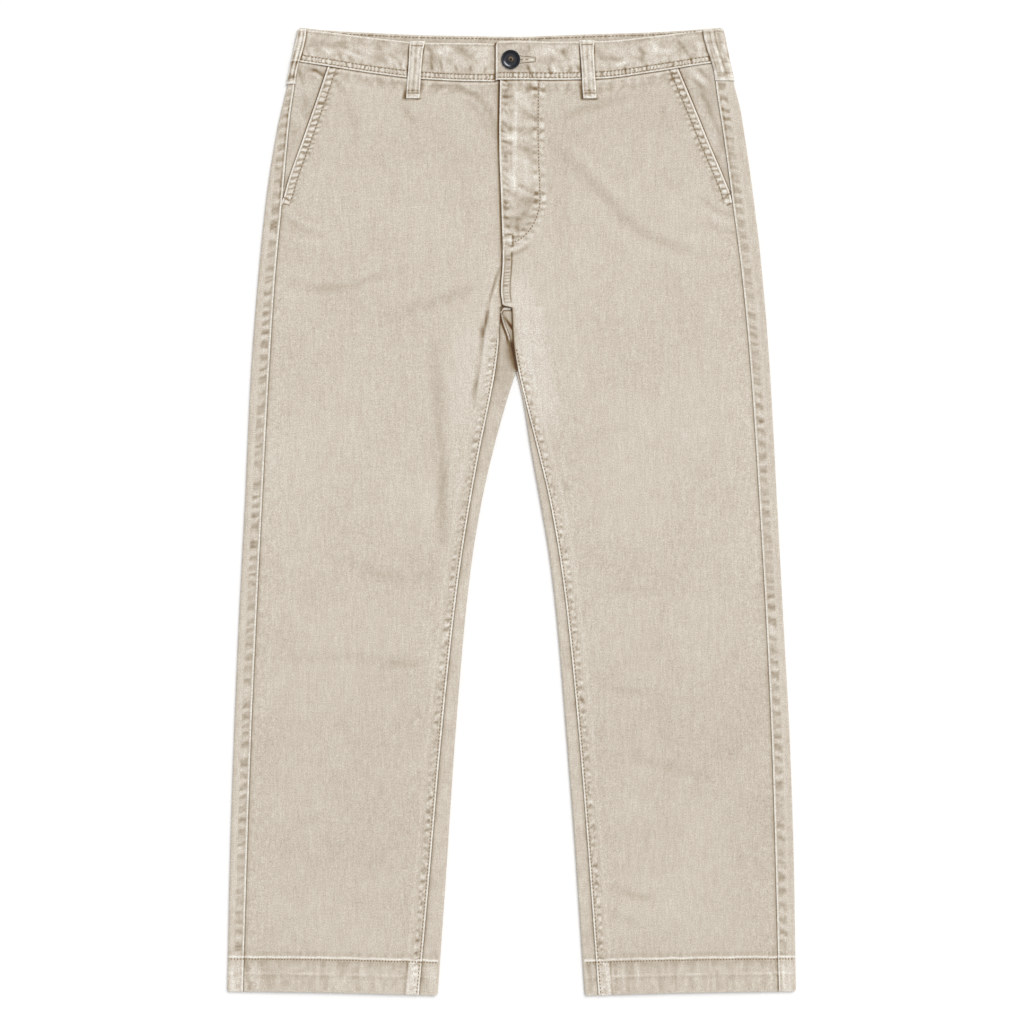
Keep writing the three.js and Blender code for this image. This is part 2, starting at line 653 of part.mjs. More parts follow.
// The buttonhole: a slit with round ends through the overlapping band, from the shank outwards
function withButtonhole(band) {
  const { end, halfWidth } = BUTTONHOLE;
  const slit = new THREE.Shape();
  slit.absarc(BUTTON.x, BUTTON.y, halfWidth, Math.PI / 2, (3 * Math.PI) / 2, false);
  slit.absarc(end - halfWidth, BUTTON.y, halfWidth, -Math.PI / 2, Math.PI / 2, false);
  const cutter = new THREE.ExtrudeGeometry(slit, {
    depth: BAND_OVERLAP_HEIGHT,
    bevelEnabled: false,
    curveSegments: 8,
  });
  cutter.translate(0, 0, BAND_UNDERLAP_HEIGHT);
  return toGeometry(toManifold(band).subtract(toManifold(cutter)));
}

// A dished metal button on a shank that stands on the band below and passes through the buttonhole
function buttonGeometry() {
  const { radius, head, dish, shankRadius } = BUTTON;
  const under = BAND_OVERLAP_HEIGHT + LAYER_GAP;
  const foot = BAND_UNDERLAP_HEIGHT + LAYER_GAP;
  const crest = under + head;
  const profile = [
    [0, foot],
    [shankRadius, foot],
    [shankRadius, under],
    [radius - 1.4, under],
    [radius - 0.3, under + 0.5],
    [radius, under + head * 0.5],
    [radius - 0.5, crest - 0.3],
    [radius - 1.4, crest],
    [radius - 2.4, crest - 0.2],
    [radius - 3.6, crest - dish],
    [2.6, crest - dish],
    [2.2, crest - dish * 0.55],
    [1.5, crest - dish * 0.55],
    [1.1, crest - dish * 1.2],
    [0, crest - dish * 1.2],
  ];
  const geometry = new THREE.LatheGeometry(profile.map(([r, z]) => new THREE.Vector2(r, z)), BUTTON.segments);
  geometry.rotateX(Math.PI / 2);
  geometry.translate(BUTTON.x, BUTTON.y, 0);
  return geometry;
}

const group = new THREE.Group();

function add(name, geometry, colour, roughness, metalness) {
  const material = new THREE.MeshStandardMaterial({ color: colour, roughness, metalness });
  const mesh = new THREE.Mesh(geometry, material);
  mesh.name = name;
  group.add(mesh);
}

const addCloth = (name, geometry) => add(name, geometry, CLOTH_COLOUR, 0.95, 0);

for (const [side, word] of [[-1, "right"], [1, "left"]]) {
  const band = waistband(side);
  addCloth(`front_${word}`, frontPanel(side));
  addCloth(`back_${word}`, backPanel(side));
  addCloth(`pocket_facing_${word}`, pocketFacing(side));
  addCloth(`waistband_${word}`, side > 0 ? withButtonhole(band) : band);
}
for (const loop of FRONT_LOOPS) addCloth(loop.name, frontLoop(loop));
for (const loop of SIDE_LOOPS) addCloth(loop.name, sideLoop(loop));
add("button", buttonGeometry(), BUTTON_COLOUR, 0.4, 0.7);

export default group;
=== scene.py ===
"""Chino trousers laid flat: washed twill panels, sewn edges, belt loops and a metal button."""

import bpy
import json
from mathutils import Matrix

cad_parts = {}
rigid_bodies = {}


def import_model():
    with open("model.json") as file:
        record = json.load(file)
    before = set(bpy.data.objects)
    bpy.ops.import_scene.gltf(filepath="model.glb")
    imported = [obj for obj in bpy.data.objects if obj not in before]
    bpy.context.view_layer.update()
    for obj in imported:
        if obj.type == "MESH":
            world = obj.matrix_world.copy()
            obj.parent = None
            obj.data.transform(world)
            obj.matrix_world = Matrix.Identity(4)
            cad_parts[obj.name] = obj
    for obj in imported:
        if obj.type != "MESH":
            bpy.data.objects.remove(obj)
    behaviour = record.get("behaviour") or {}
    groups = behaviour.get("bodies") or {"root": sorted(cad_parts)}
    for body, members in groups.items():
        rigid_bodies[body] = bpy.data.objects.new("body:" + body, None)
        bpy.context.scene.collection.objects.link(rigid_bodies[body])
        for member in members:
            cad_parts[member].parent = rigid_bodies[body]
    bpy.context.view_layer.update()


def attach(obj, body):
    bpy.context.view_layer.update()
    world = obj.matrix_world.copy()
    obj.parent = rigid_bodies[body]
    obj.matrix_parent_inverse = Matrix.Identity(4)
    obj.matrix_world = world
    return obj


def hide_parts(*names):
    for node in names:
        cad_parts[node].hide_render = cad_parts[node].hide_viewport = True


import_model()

import json
from math import cos, pi, radians, sin

import bmesh
import bpy
import numpy as np
from mathutils import Matrix, Vector
from mathutils.bvhtree import BVHTree

bl_info = {
    "name": "Flat-laid chino trousers",
    "version": (1, 0, 0),
    "blender": (4, 5, 0),
    "location": "3D View > Sidebar > Trousers",
    "description": "Builds washed twill trousers laid flat, piece by piece",
    "category": "Add Mesh",
}

# Lengths are in millimetres until a mesh is made. x runs to the wearer's left, y up to the waist
MM = 0.001
RIGHT = -1
LEFT = 1
WORDS = {RIGHT: "right", LEFT: "left"}

# How thick the cloth of each part is, and the gaps between pieces
PANEL_WALL = 1.2
HEM_WALL = 2.0
WAISTBAND_WALL = 2.0
FACING_WALL = 1.0
LOOP_WALL = 1.5
SEAM_GAP = 0.3
LAYER_GAP = 0.35

# How high the laid cloth stands, and how far from a fold or an edge it takes to get there
FOLD_HEIGHT = 4.8
CROWN_RISE = 1.1
CROWN_REACH = 60.0
CROTCH_SINK = 1.1
CROTCH_SINK_REACH = 35.0
GUSSET_SINK = 0.9
GUSSET_SINK_REACH = 25.0
UNDERLAP_HEIGHT = 4.2
UNDERLAP_HEIGHT_AT_CROTCH = 3.8
UNDERLAP_RAMP = 14.0
BAND_FOLD_HEIGHT = 5.2
BAND_RISE = 1.2
BAND_RISE_REACH = 40.0
BAND_UNDERLAP_HEIGHT = 4.6
BAND_OVERLAP_HEIGHT = 7.05

# Places down the garment, from the waist seam to the hem, and the shapes at some of them
WAIST_SEAM = 486.5
WAIST_FADE_FROM = 300.0
POCKET_BOTTOM = 333.0
CROTCH_POINT = 220.6
CENTRE_FRONT_BOTTOM = 223.4
CROTCH_APEX = 151.2
SEAT_HIDDEN = 181.0
GUSSET_STROKE = [(-7.0, 210.0), (-3.5, 204.5), (0.5, 199.0)]
GUSSET_TOP = 217.8
GUSSET_TUCK_HEIGHT = 2.45
APEX_X = 4.95
HEM = -518.1
HEM_STITCH = -481.2
HEM_DIP = 4.6
HEM_DIP_REACH = 200.0
HEM_CORNER = 2.5

# The fly and the ends of the waistband
FLY_WIDTH = 42.0
FLY_STRAIGHT_BOTTOM = 342.0
FLY_BOTTOM = 289.0
FLY_UNDERLAP = 12.0
FLY_RELIEF = 0.4
BAND_OVERLAP_END = -17.0
BAND_UNDERLAP_END = 16.0
BAND_CORNER = 3.6
BACK_BAND_DEPTH = 37.3
CENTRE_BACK_WAIST_X = -4.0

# The pocket facings, which lie under the fronts
FACING_UNDERLAP = 8.0
FACING_BOTTOM = 327.0
FACING_LIFT = 1.1
FACING_LIFT_REACH = 18.0

BUTTON_X = -0.8
BUTTON_Y = 488.3
BUTTONHOLE_END = 25.0

# Threads, in metres: how far they stand off the cloth, and their length, width and height
STITCH_LIFT = 0.00005
TACK_LIFT = 0.0001
TACK_SIZE = (0.0021, 0.0005, 0.0004)
EDGE_STITCH_SIZE = (0.0019, 0.0011, 0.0006)
# Both ends of each bar tack on the belt loops and the pockets
BAR_TACKS = [
    ((-112.0, 452.2), (-99.4, 452.2)), ((79.0, 452.2), (91.6, 452.2)),
    ((-108.0, 503.2), (-95.4, 502.9)), ((75.4, 504.2), (88.0, 504.6)),
    ((-246.5, 340.5), (-239.5, 336.0)), ((238.0, 346.0), (231.5, 340.5)),
    ((-247.0, 333.0), (-240.0, 331.5)), ((239.0, 334.0), (232.5, 331.0)),
]
# The button's dished face from its rim inwards: how far in each ring steps, and how far up
BUTTON_RINGS = [
    (0.8, 0), (1.0, -0.1), (1.4, -1.0), (3.4, -0.1),
    (0.4, 0.35), (0.6, 0), (0.35, -0.7), (0.4, -0.1),
]
SHANK_RADIUS = 1.6

# The stage: the floor's size and the light's place in metres, small offsets in millimetres
FLOOR_SIZE = 8
FLOOR_DROP = 0.2
KEY_LIGHT_PLACE = (0.62, 0.8, 1.7)
CAMERA_X = 0.6

# Sizes that the pieces are cut to, where the mesh doesn't give them
BACK_WRAP = 48.0
BAND_DEPTH = 37.5
SIDE_LOOP_LENGTH = 61.0

# How finely the cloth is divided
FOLD_STEPS = 10
FRONT_COLUMNS = 36
UNDER_COLUMNS = 60
FACING_COLUMNS = 12
BAND_COLUMNS = 178

# A pocket's slanted edge leans, so distances across it are this much shorter than along x
SLANT_COSINE = 0.94
# A distance at which no seam is near, and the least height of a normal on the upper face
FAR_AWAY = 99.0
UPPER_FACE = 0.99

# Each side loop's inner edge: y and x at its top, then at its bottom
SIDE_LOOP_LINES = {RIGHT: (521.2, -221.6, 462.4, -233.2), LEFT: (521.2, 207.0, 466.0, 219.8)}
# Each front loop's middle at its top and at its bottom
FRONT_LOOP_LINES = {RIGHT: (-102.2, -106.6), LEFT: (80.8, 84.6)}
FRONT_LOOP_WIDTH = 14.4
FRONT_LOOP_BOTTOM = 446.6
FRONT_LOOP_STAND = 1.5
SIDE_LOOP_FOLD = 2.6
SIDE_LOOP_END_ANGLE = -33.0

# Where the stitching runs, measured in from the edge that it follows
INSEAM_STITCH_IN = 2.5
POCKET_STITCH_IN = 8.8
CHANNEL_STITCH_LOW = 2.3
CHANNEL_STITCH_HIGH = 7.3
BAND_TOP_STITCH_IN = 2.6
HEM_STITCH_DROP = 1.5


def table(names, rows):
    """Rows of numbers as one array for each named column."""
    return dict(zip(names, np.array(rows).T))


# Seams and folds down the garment: where each one runs across, at heights from the waist to the hem
OUTER_SECTIONS = table(("y", "right_fold", "right_outseam", "left_outseam", "left_fold"), [
    (524.0, -228.9, -227.0, 213.5, 227.1),
    (486.5, -236.8, -231.2, 219.2, 234.8),
    (463.3, -241.6, -233.8, 220.7, 240.2),
    (434.2, -248.6, -238.1, 224.8, 247.6),
    (412.6, -253.3, -240.6, 228.2, 251.1),
    (337.0, -265.1, -247.5, 238.5, 261.9),
    (250.6, -273.8, -255.4, 249.5, 271.6),
    (151.2, -281.3, -261.8, 258.6, 279.4),
    (13.0, -287.8, -269.1, 267.6, 286.9),
    (-116.6, -294.4, -275.5, 275.1, 293.8),
    (-246.2, -299.9, -281.3, 281.1, 300.8),
    (-375.8, -304.1, -285.7, 285.1, 305.1),
    (-519.5, -307.3, -290.0, 288.7, 307.5),
])
INSEAM_SECTIONS = table(("y", "right", "left"), [
    (219.2, -11.9, 0.2),
    (185.8, -13.4, 1.8),
    (151.2, -17.6, 7.6),
    (121.0, -23.2, 14.6),
    (67.0, -34.2, 28.2),
    (13.0, -43.9, 40.9),
    (-51.8, -54.2, 52.3),
    (-116.6, -62.5, 60.6),
    (-246.2, -75.8, 73.1),
    (-375.8, -87.0, 83.4),
    (-519.5, -100.0, 93.9),
])
INNER_FOLD_SECTIONS = table(("y", "right", "left"), [
    (151.2, 4.8, 5.1),
    (121.0, -4.9, 12.4),
    (67.0, -19.7, 21.1),
    (13.0, -31.9, 30.8),
    (-51.8, -42.7, 41.6),
    (-116.6, -50.2, 49.1),
    (-246.2, -61.0, 59.9),
    (-375.8, -69.7, 69.7),
    (-519.5, -79.9, 79.4),
])
CENTRE_FRONT = table(("y", "x"), [
    (486.5, -12.2),
    (412.6, -13.2),
    (337.0, -11.1),
    (272.2, -9.5),
    (239.8, -11.4),
    (223.4, -9.6),
])
SEAT_SEAM = table(("y", "x"), [
    (219.2, -11.0),
    (203.0, -7.0),
    (191.2, -2.6),
    (180.4, 0.2),
    (166.3, 2.7),
    (151.2, 4.9),
])
POCKET_SLANT = table(("y", "right", "left"), [
    (486.5, -196.2, 176.4),
    (459.0, -205.5, 188.2),
    (430.9, -215.3, 200.0),
    (399.6, -226.4, 212.8),
    (358.6, -240.9, 230.3),
    (342.4, -245.4, 236.5),
    (333.0, -248.6, 238.6),
])
# The waistband's edges: how high each one runs, from the right side to the left
WAIST_SECTIONS = table(("x", "back_top", "front_top", "front_seam"), [
    (-230.6, 523.8, 521.6, 486.5),
    (-200.3, 520.6, 518.4, 481.7),
    (-146.3, 517.6, 511.7, 473.2),
    (-92.3, 515.3, 506.8, 467.1),
    (-38.3, 514.4, 506.4, 464.9),
    (-19.0, 513.9, 506.0, 464.9),
    (-14.5, 513.8, 508.2, 466.7),
    (12.0, 513.7, 508.4, 466.7),
    (42.7, 514.8, 507.9, 466.4),
    (96.7, 516.7, 508.6, 467.8),
    (150.7, 518.4, 513.5, 474.7),
    (204.7, 521.6, 520.0, 483.3),
    (228.4, 523.8, 522.2, 486.5),
])

# Undulation of the laid fronts: height, size of its bumps and seed of its noise
UNDULATION = [(0.2, 74, 1), (0.09, 31, 2), (0.05, 13, 3), (0.02, 6.5, 4)]
# Creases of the fronts, listed one by one: side, path, reach across, height (troughs are below zero)
# and how much of the height is kept at the ends
CREASES = [
    (RIGHT, [(-13, 264), (-18, 248), (-22, 235), (-25, 222), (-28, 207), (-31, 190)], 1.5, -1.35, 0.7),
    (RIGHT, [(-17, 236), (-22, 210), (-27, 180), (-32, 128)], 4.0, 0.1, 0.3),
    (RIGHT, [(-82, 180), (-79, 140), (-78, 104), (-75, 60), (-75, 10), (-73, -30)], 7.0, -0.42, 0.45),
    (RIGHT, [(-45, 232), (-57, 165), (-61, 100), (-62, 30)], 12.0, 0.18, 0.1),
    (RIGHT, [(-251, 253), (-238, 247), (-215, 241), (-192, 242), (-169, 246), (-145, 253)], 5.0, -0.33, 0.35),
    (RIGHT, [(-149, 200), (-107, 219), (-65, 233), (-27, 246), (-14, 258)], 6.5, -0.26, 0.2),
    (RIGHT, [(-84, 460), (-61, 459), (-37, 449), (-23, 431), (-16, 405)], 3.4, -0.72, 0.4),
    (RIGHT, [(-53, 448), (-35, 432), (-23, 408)], 3.4, -0.4, 0.3),
    (RIGHT, [(-117, 443), (-112, 428), (-100, 415)], 3.2, -0.5, 0.2),
    (RIGHT, [(-191, 466), (-185, 458), (-179, 449)], 3.0, -0.55, 0.3),
    (RIGHT, [(-179, 447), (-171, 423), (-166, 404)], 3.2, -0.36, 0.2),
    (RIGHT, [(-247, 326), (-227, 313), (-201, 305)], 2.2, 0.36, 0.5),
    (RIGHT, [(-247, 318), (-225, 304), (-203, 298)], 2.4, -0.42, 0.5),
    (RIGHT, [(-249, 300), (-227, 292), (-206, 290)], 2.4, 0.28, 0.5),
    (RIGHT, [(-27, 271), (-11, 265)], 2.6, 0.3, 0.6),
    (RIGHT, [(-31, 258), (-11, 262)], 2.6, 0.22, 0.6),
    (RIGHT, [(-188, -47), (-157, -63), (-119, -73), (-87, -70)], 7.0, -0.22, 0.35),
    (RIGHT, [(-257, -160), (-215, -158), (-174, -157), (-131, -162), (-91, -160)], 6.5, -0.17, 0.2),
    (RIGHT, [(-139, -162), (-113, -165), (-87, -161)], 4.0, -0.26, 0.1),
    (RIGHT, [(-245, -332), (-223, -334), (-199, -331)], 7.0, -0.12, 0.0),
    (LEFT, [(41, 402), (57, 386), (86, 357), (118, 320)], 6.4, -0.25, 0.3),
    (LEFT, [(43, 410), (61, 398), (95, 366), (129, 334)], 6.0, 0.14, 0.1),
    (LEFT, [(45, 420), (66, 431), (100, 440), (142, 452)], 5.0, -0.32, 0.2),
    (LEFT, [(59, 402), (83, 414), (105, 419)], 6.0, -0.14, 0.1),
    (LEFT, [(146, 440), (149, 385), (151, 326)], 2.4, 0.16, 0.1),
    (LEFT, [(65, 352), (69, 300), (70, 250)], 3.6, 0.16, 0.1),
    (LEFT, [(81, 330), (85, 285), (85, 240)], 3.6, 0.12, 0.1),
    (LEFT, [(162, 449), (164, 432), (169, 404)], 3.2, -0.22, 0.1),
    (LEFT, [(203, 340), (221, 326), (241, 318)], 2.6, -0.38, 0.5),
    (LEFT, [(205, 328), (225, 315), (243, 308)], 2.4, 0.3, 0.5),
    (LEFT, [(207, 312), (227, 303), (245, 300)], 2.6, -0.34, 0.5),
    (LEFT, [(159, 364), (189, 346), (217, 330)], 5.0, -0.12, 0.0),
    (LEFT, [(51, 70), (57, 48), (59, 30)], 3.0, 0.24, 0.2),
    (LEFT, [(55, 34), (61, 25), (67, 28)], 3.0, -0.4, 0.2),
    (LEFT, [(61, 66), (83, 82), (109, 92), (149, 84)], 6.0, -0.12, 0.0),
    (LEFT, [(93, -85), (129, -84), (167, -87)], 6.0, -0.16, 0.3),
    (LEFT, [(95, -189), (119, -192), (147, -196)], 4.5, -0.27, 0.2),
    (LEFT, [(120, -262), (182, -279), (225, -286)], 6.0, -0.2, 0.3),
    (LEFT, [(103, -401), (127, -413), (161, -420)], 4.5, -0.34, 0.2),
    (LEFT, [(103, -430), (121, -441), (141, -447)], 4.5, -0.22, 0.2),
    (RIGHT, [(-26, 216), (-31, 190), (-35, 165), (-38, 145), (-40, 114)], 2.2, -1.5, 0.5),
    (RIGHT, [(-169, 246), (-145, 253), (-117, 264)], 5.0, -0.14, 0.5),
    (RIGHT, [(-77, 95), (-75, 60), (-75, 10), (-72, -35)], 4.2, -0.26, 0.4),
    (LEFT, [(90, 352), (118, 320), (146, 299), (180, 285), (217, 277)], 6.8, -0.36, 0.2),
]
# Similar creases on the hidden underside
BACK_CREASES = [
    (RIGHT, [(-6, 168), (-32, 192), (-70, 214), (-118, 228)], 7.0, -0.6, 0.2),
    (RIGHT, [(-12, 196), (-40, 228), (-72, 256)], 5.0, -0.4, 0.1),
    (RIGHT, [(-24, 142), (-70, 128), (-125, 132), (-170, 144)], 7.5, -0.65, 0.1),
    (RIGHT, [(-246, 222), (-204, 200), (-160, 196)], 6.0, -0.4, 0.1),
    (RIGHT, [(-66, -38), (-100, -58), (-150, -62), (-205, -50)], 7.0, -0.6, 0.1),
    (RIGHT, [(-74, -95), (-115, -104), (-150, -98)], 6.0, -0.4, 0.1),
    (RIGHT, [(-268, -80), (-228, -92), (-190, -90)], 6.0, -0.36, 0.2),
    (RIGHT, [(-252, -210), (-200, -222), (-150, -216), (-112, -204)], 6.5, -0.36, 0.0),
    (RIGHT, [(-104, -330), (-150, -341), (-190, -335)], 5.5, -0.36, 0.2),
    (RIGHT, [(-284, -410), (-244, -418), (-215, -412)], 6.0, -0.3, 0.2),
    (RIGHT, [(-150, 474), (-146, 430), (-152, 392)], 4.6, -0.42, 0.2),
    (RIGHT, [(-60, 472), (-66, 430)], 4.0, -0.36, 0.2),
    (LEFT, [(14, 172), (38, 200), (80, 222), (116, 232)], 6.5, -0.55, 0.2),
    (LEFT, [(26, 150), (72, 135), (130, 141), (164, 153)], 8.0, -0.6, 0.1),
    (LEFT, [(244, 248), (196, 224), (150, 219)], 6.0, -0.42, 0.1),
    (LEFT, [(54, -18), (95, -46), (160, -52)], 7.0, -0.6, 0.1),
    (LEFT, [(262, -58), (218, -74), (170, -70)], 6.0, -0.42, 0.2),
    (LEFT, [(72, -118), (118, -131), (152, -126)], 5.5, -0.36, 0.1),
    (LEFT, [(96, -248), (150, -262), (208, -254)], 6.5, -0.36, 0.1),
    (LEFT, [(280, -298), (238, -312), (200, -308)], 5.5, -0.32, 0.2),
    (LEFT, [(104, -418), (140, -431), (178, -428)], 5.0, -0.36, 0.2),
    (LEFT, [(60, 474), (64, 432), (56, 398)], 4.6, -0.4, 0.2),
    (LEFT, [(170, 474), (164, 438)], 4.0, -0.34, 0.2),
]


def curve(places, values):
    """Monotone cubic through a table's points, held level beyond its ends."""
    order = np.argsort(places)
    at, value = np.asarray(places, float)[order], np.asarray(values, float)[order]
    spans = np.diff(at)
    slopes = np.diff(value) / spans
    tangents = np.concatenate([slopes[:1], np.zeros(len(at) - 2), slopes[-1:]])
    for i in range(1, len(at) - 1):
        if slopes[i - 1] * slopes[i] > 0:
            tangents[i] = 2 * slopes[i - 1] * slopes[i] / (slopes[i - 1] + slopes[i])

    def read(wanted):
        place = np.clip(wanted, at[0], at[-1])
        i = np.clip(np.searchsorted(at, place, side="right") - 1, 0, len(at) - 2)
        t = (place - at[i]) / spans[i]
        near = (1 + 2 * t) * (1 - t) ** 2 * value[i] + t * (1 - t) ** 2 * spans[i] * tangents[i]
        return near + t * t * (3 - 2 * t) * value[i + 1] + t * t * (t - 1) * spans[i] * tangents[i + 1]

    return read


def ease(t):
    """A soft step from 0 to 1."""
    t = np.clip(t, 0, 1)
    return t * t * (3 - 2 * t)


def mix(a, b, t):
    """From a at 0 to b at 1."""
    return a + (b - a) * t


def side_curves(sections, suffix=""):
    """A curve down each side, from a table's column for the right and its column for the left."""
    return {side: curve(sections["y"], sections[word + suffix]) for side, word in WORDS.items()}


outer_fold = side_curves(OUTER_SECTIONS, "_fold")
outseam = side_curves(OUTER_SECTIONS, "_outseam")
inseam = side_curves(INSEAM_SECTIONS)
inner_fold = side_curves(INNER_FOLD_SECTIONS)
pocket_slant = side_curves(POCKET_SLANT)
centre_front = curve(CENTRE_FRONT["y"], CENTRE_FRONT["x"])
seat_seam = curve(SEAT_SEAM["y"], SEAT_SEAM["x"])
back_top = curve(WAIST_SECTIONS["x"], WAIST_SECTIONS["back_top"])
front_top = curve(WAIST_SECTIONS["x"], WAIST_SECTIONS["front_top"])
front_seam = curve(WAIST_SECTIONS["x"], WAIST_SECTIONS["front_seam"])


def back_seam(x):
    """Height of the waist seam at the back."""
    return back_top(x) - BACK_BAND_DEPTH


def centre_back(y):
    """Where the centre back seam runs, from the crotch up to the waist."""
    return mix(APEX_X, CENTRE_BACK_WAIST_X, (y - CROTCH_APEX) / (WAIST_SEAM - CROTCH_APEX))


# Random values that every noise reads, drawn once
LATTICE = np.random.RandomState(41).uniform(-1, 1, (256, 256))


def noise(x, y, cell, seed):
    """Smooth noise from -1 to 1 whose bumps are about one cell across."""
    u = x / cell + seed * 17.31
    v = y / cell + seed * 9.73
    i, j = np.floor(u).astype(int), np.floor(v).astype(int)
    s, t = ease(u - i), ease(v - j)
    low = mix(LATTICE[i % 256, j % 256], LATTICE[(i + 1) % 256, j % 256], s)
    high = mix(LATTICE[i % 256, (j + 1) % 256], LATTICE[(i + 1) % 256, (j + 1) % 256], s)
    return mix(low, high, t)


def puckers(along, spacing, seed, across=0.0, least=0.1, uneven=0.75):
    """An uneven row of gathers along a seam, from -1 in the dips to 1 on the tops."""
    across = across + 0 * along
    phase = along / spacing + uneven * noise(along, 0 * along, 2.6 * spacing, seed)
    phase = phase + 0.2 * noise(along, across * 1.6, 0.75 * spacing, seed + 5)
    strength = 0.66 + 0.6 * noise(along, 0.6 * across + 50, 1.25 * spacing, seed + 3)
    return np.tanh(1.8 * np.sin(2 * pi * phase)) * np.clip(strength, least, 1.2)


def line(distance, width):
    """A soft line on a seam: 1 on it, falling away to nothing."""
    return np.exp(-((distance / width) ** 2))


def marks(distance, *rows):
    """Soft lines beside a seam, added up. A row is how far in its line runs, its width and its strength."""
    return sum(strength * line(distance - place, width) for place, width, strength in rows)


def strip(distance, start, end, soft):
    """A soft-edged strip between two distances from a seam."""
    return ease((distance - start) / soft + 0.5) * ease((end - distance) / soft + 0.5)


def rounded_edge(distance, radius, depth):
    """How far a cut or turned edge rolls down."""
    t = np.clip(1 - distance / radius, 0, 1)
    return -depth * (1 - np.sqrt(1 - t * t))


def near_path(x, y, path):
    """Distance from points to a path, and how far along it they are, from 0 to 1."""
    points = np.array(path, float)
    lengths = np.hypot(*np.diff(points, axis=0).T)
    starts = np.concatenate([[0], np.cumsum(lengths)])
    nearest = np.full(x.shape, 1e9)
    along = np.zeros(x.shape)
    for (ax, ay), (bx, by), length, start in zip(points[:-1], points[1:], lengths, starts):
        t = np.clip(((x - ax) * (bx - ax) + (y - ay) * (by - ay)) / length**2, 0, 1)
        distance = np.hypot(x - mix(ax, bx, t), y - mix(ay, by, t))
        closer = distance < nearest
        nearest = np.where(closer, distance, nearest)
        along = np.where(closer, (start + t * length) / starts[-1], along)
    return nearest, along


def middle_part(along, share):
    """1 in the middle of a path, falling to 0 over a share of its length at each end."""
    return ease(along / share) * ease((1 - along) / share)


def placed_creases(side, x, y, creases, seed):
    """The listed creases on one side, in millimetres."""
    wander_x, wander_y = 1.1 * noise(x, y, 15, 7), 1.1 * noise(y, x, 15, 8)
    relief = 0 * x
    for at, (crease_side, path, reach, height, kept) in enumerate(creases):
        if crease_side != side:
            continue
        wander = min(1, reach / 4)
        distance, along = near_path(x + wander * wander_x, y + wander * wander_y, path)
        uneven = 0.85 + 0.35 * noise(x, y, 19, seed + at)
        ends = mix(kept, 1, middle_part(along, 0.35))
        relief = relief + height * uneven * ends * marks(distance / reach, (0, 1, 1), (1.9, 0.8, -0.14))
    return relief


def crease_relief(side, x, y):
    """The undulation of one front and the creases placed on it, in millimetres."""
    undulation = sum(height * noise(x, y, cell, seed) for height, cell, seed in UNDULATION)
    return undulation, placed_creases(side, x, y, CREASES, 10)


def from_edges(side, x, y):
    """Distances from the side fold and from the inner fold or the crotch."""
    outer = np.maximum(0, side * (outer_fold[side](y) - x))
    apex = np.hypot(x - APEX_X, y - CROTCH_APEX)
    inner = np.where(y < CROTCH_APEX, np.maximum(0, side * (x - inner_fold[side](y))), apex)
    return outer, inner, apex


def cloth_height(side, x, y):
    """Height of one side's upper cloth before its creases and seams."""
    outer, inner, apex = from_edges(side, x, y)
    crown = CROWN_RISE * ease(outer / CROWN_REACH) * ease(inner / CROWN_REACH)
    return FOLD_HEIGHT + crown - CROTCH_SINK * line(apex, CROTCH_SINK_REACH)


def row_place(side, row, x, under):
    """Where a row runs at x: rows bend with the waist seam above and with the hem below."""
    waist = mix(front_seam(x), back_seam(x), under) - WAIST_SEAM
    upper = ease((row - WAIST_FADE_FROM) / (WAIST_SEAM - WAIST_FADE_FROM))
    lower = 1 - ease((row - HEM) / HEM_DIP_REACH)
    outer = outer_fold[side](row)
    across = np.where(row < CROTCH_APEX, (x - outer) / (inner_fold[side](row) - outer), 0)
    edge = np.where(row == WAIST_SEAM, SEAM_GAP / 2, 0)
    return row + waist * upper - HEM_DIP * lower * across * np.abs(across) - edge


def stepped(*stretches):
    """Places along a length: each stretch is (from, to, step), and each ends where the next begins."""
    places = []
    for start, end, step in stretches:
        count = max(1, round(abs(end - start) / step))
        places.extend(mix(start, end, i / count) for i in range(count))
    return np.array([*places, stretches[-1][1]])


# Rows of points down the garment, closer together at seams and hems
LEG_ROWS = stepped(
    (HEM, HEM + 4, 0.8), (HEM + 4, HEM_STITCH - 5, 2.4), (HEM_STITCH - 5, HEM_STITCH + 4, 0.9),
    (HEM_STITCH + 4, HEM_STITCH + 16, 2.0), (HEM_STITCH + 16, 130, 2.7), (130, CROTCH_APEX, 1.9),
)
GUSSET_ROWS = stepped((CROTCH_APEX, 214.5, 1.8), (214.5, GUSSET_TOP, 0.7))
GUSSET_TUCK_ROWS = stepped((GUSSET_TOP, GUSSET_TOP + 6.3, 0.7))
HIP_ROWS = stepped(
    (GUSSET_TOP, CENTRE_FRONT_BOTTOM, 0.8), (CENTRE_FRONT_BOTTOM, 262, 1.7), (262, POCKET_BOTTOM - 6, 2.1),
    (POCKET_BOTTOM - 6, POCKET_BOTTOM + 4, 1.2), (POCKET_BOTTOM + 4, 470, 2.0),
    (470, WAIST_SEAM - 5, 1.5), (WAIST_SEAM - 5, WAIST_SEAM, 0.8),
)
FRONT_ROWS = np.concatenate([LEG_ROWS, GUSSET_ROWS[1:], HIP_ROWS[1:]])
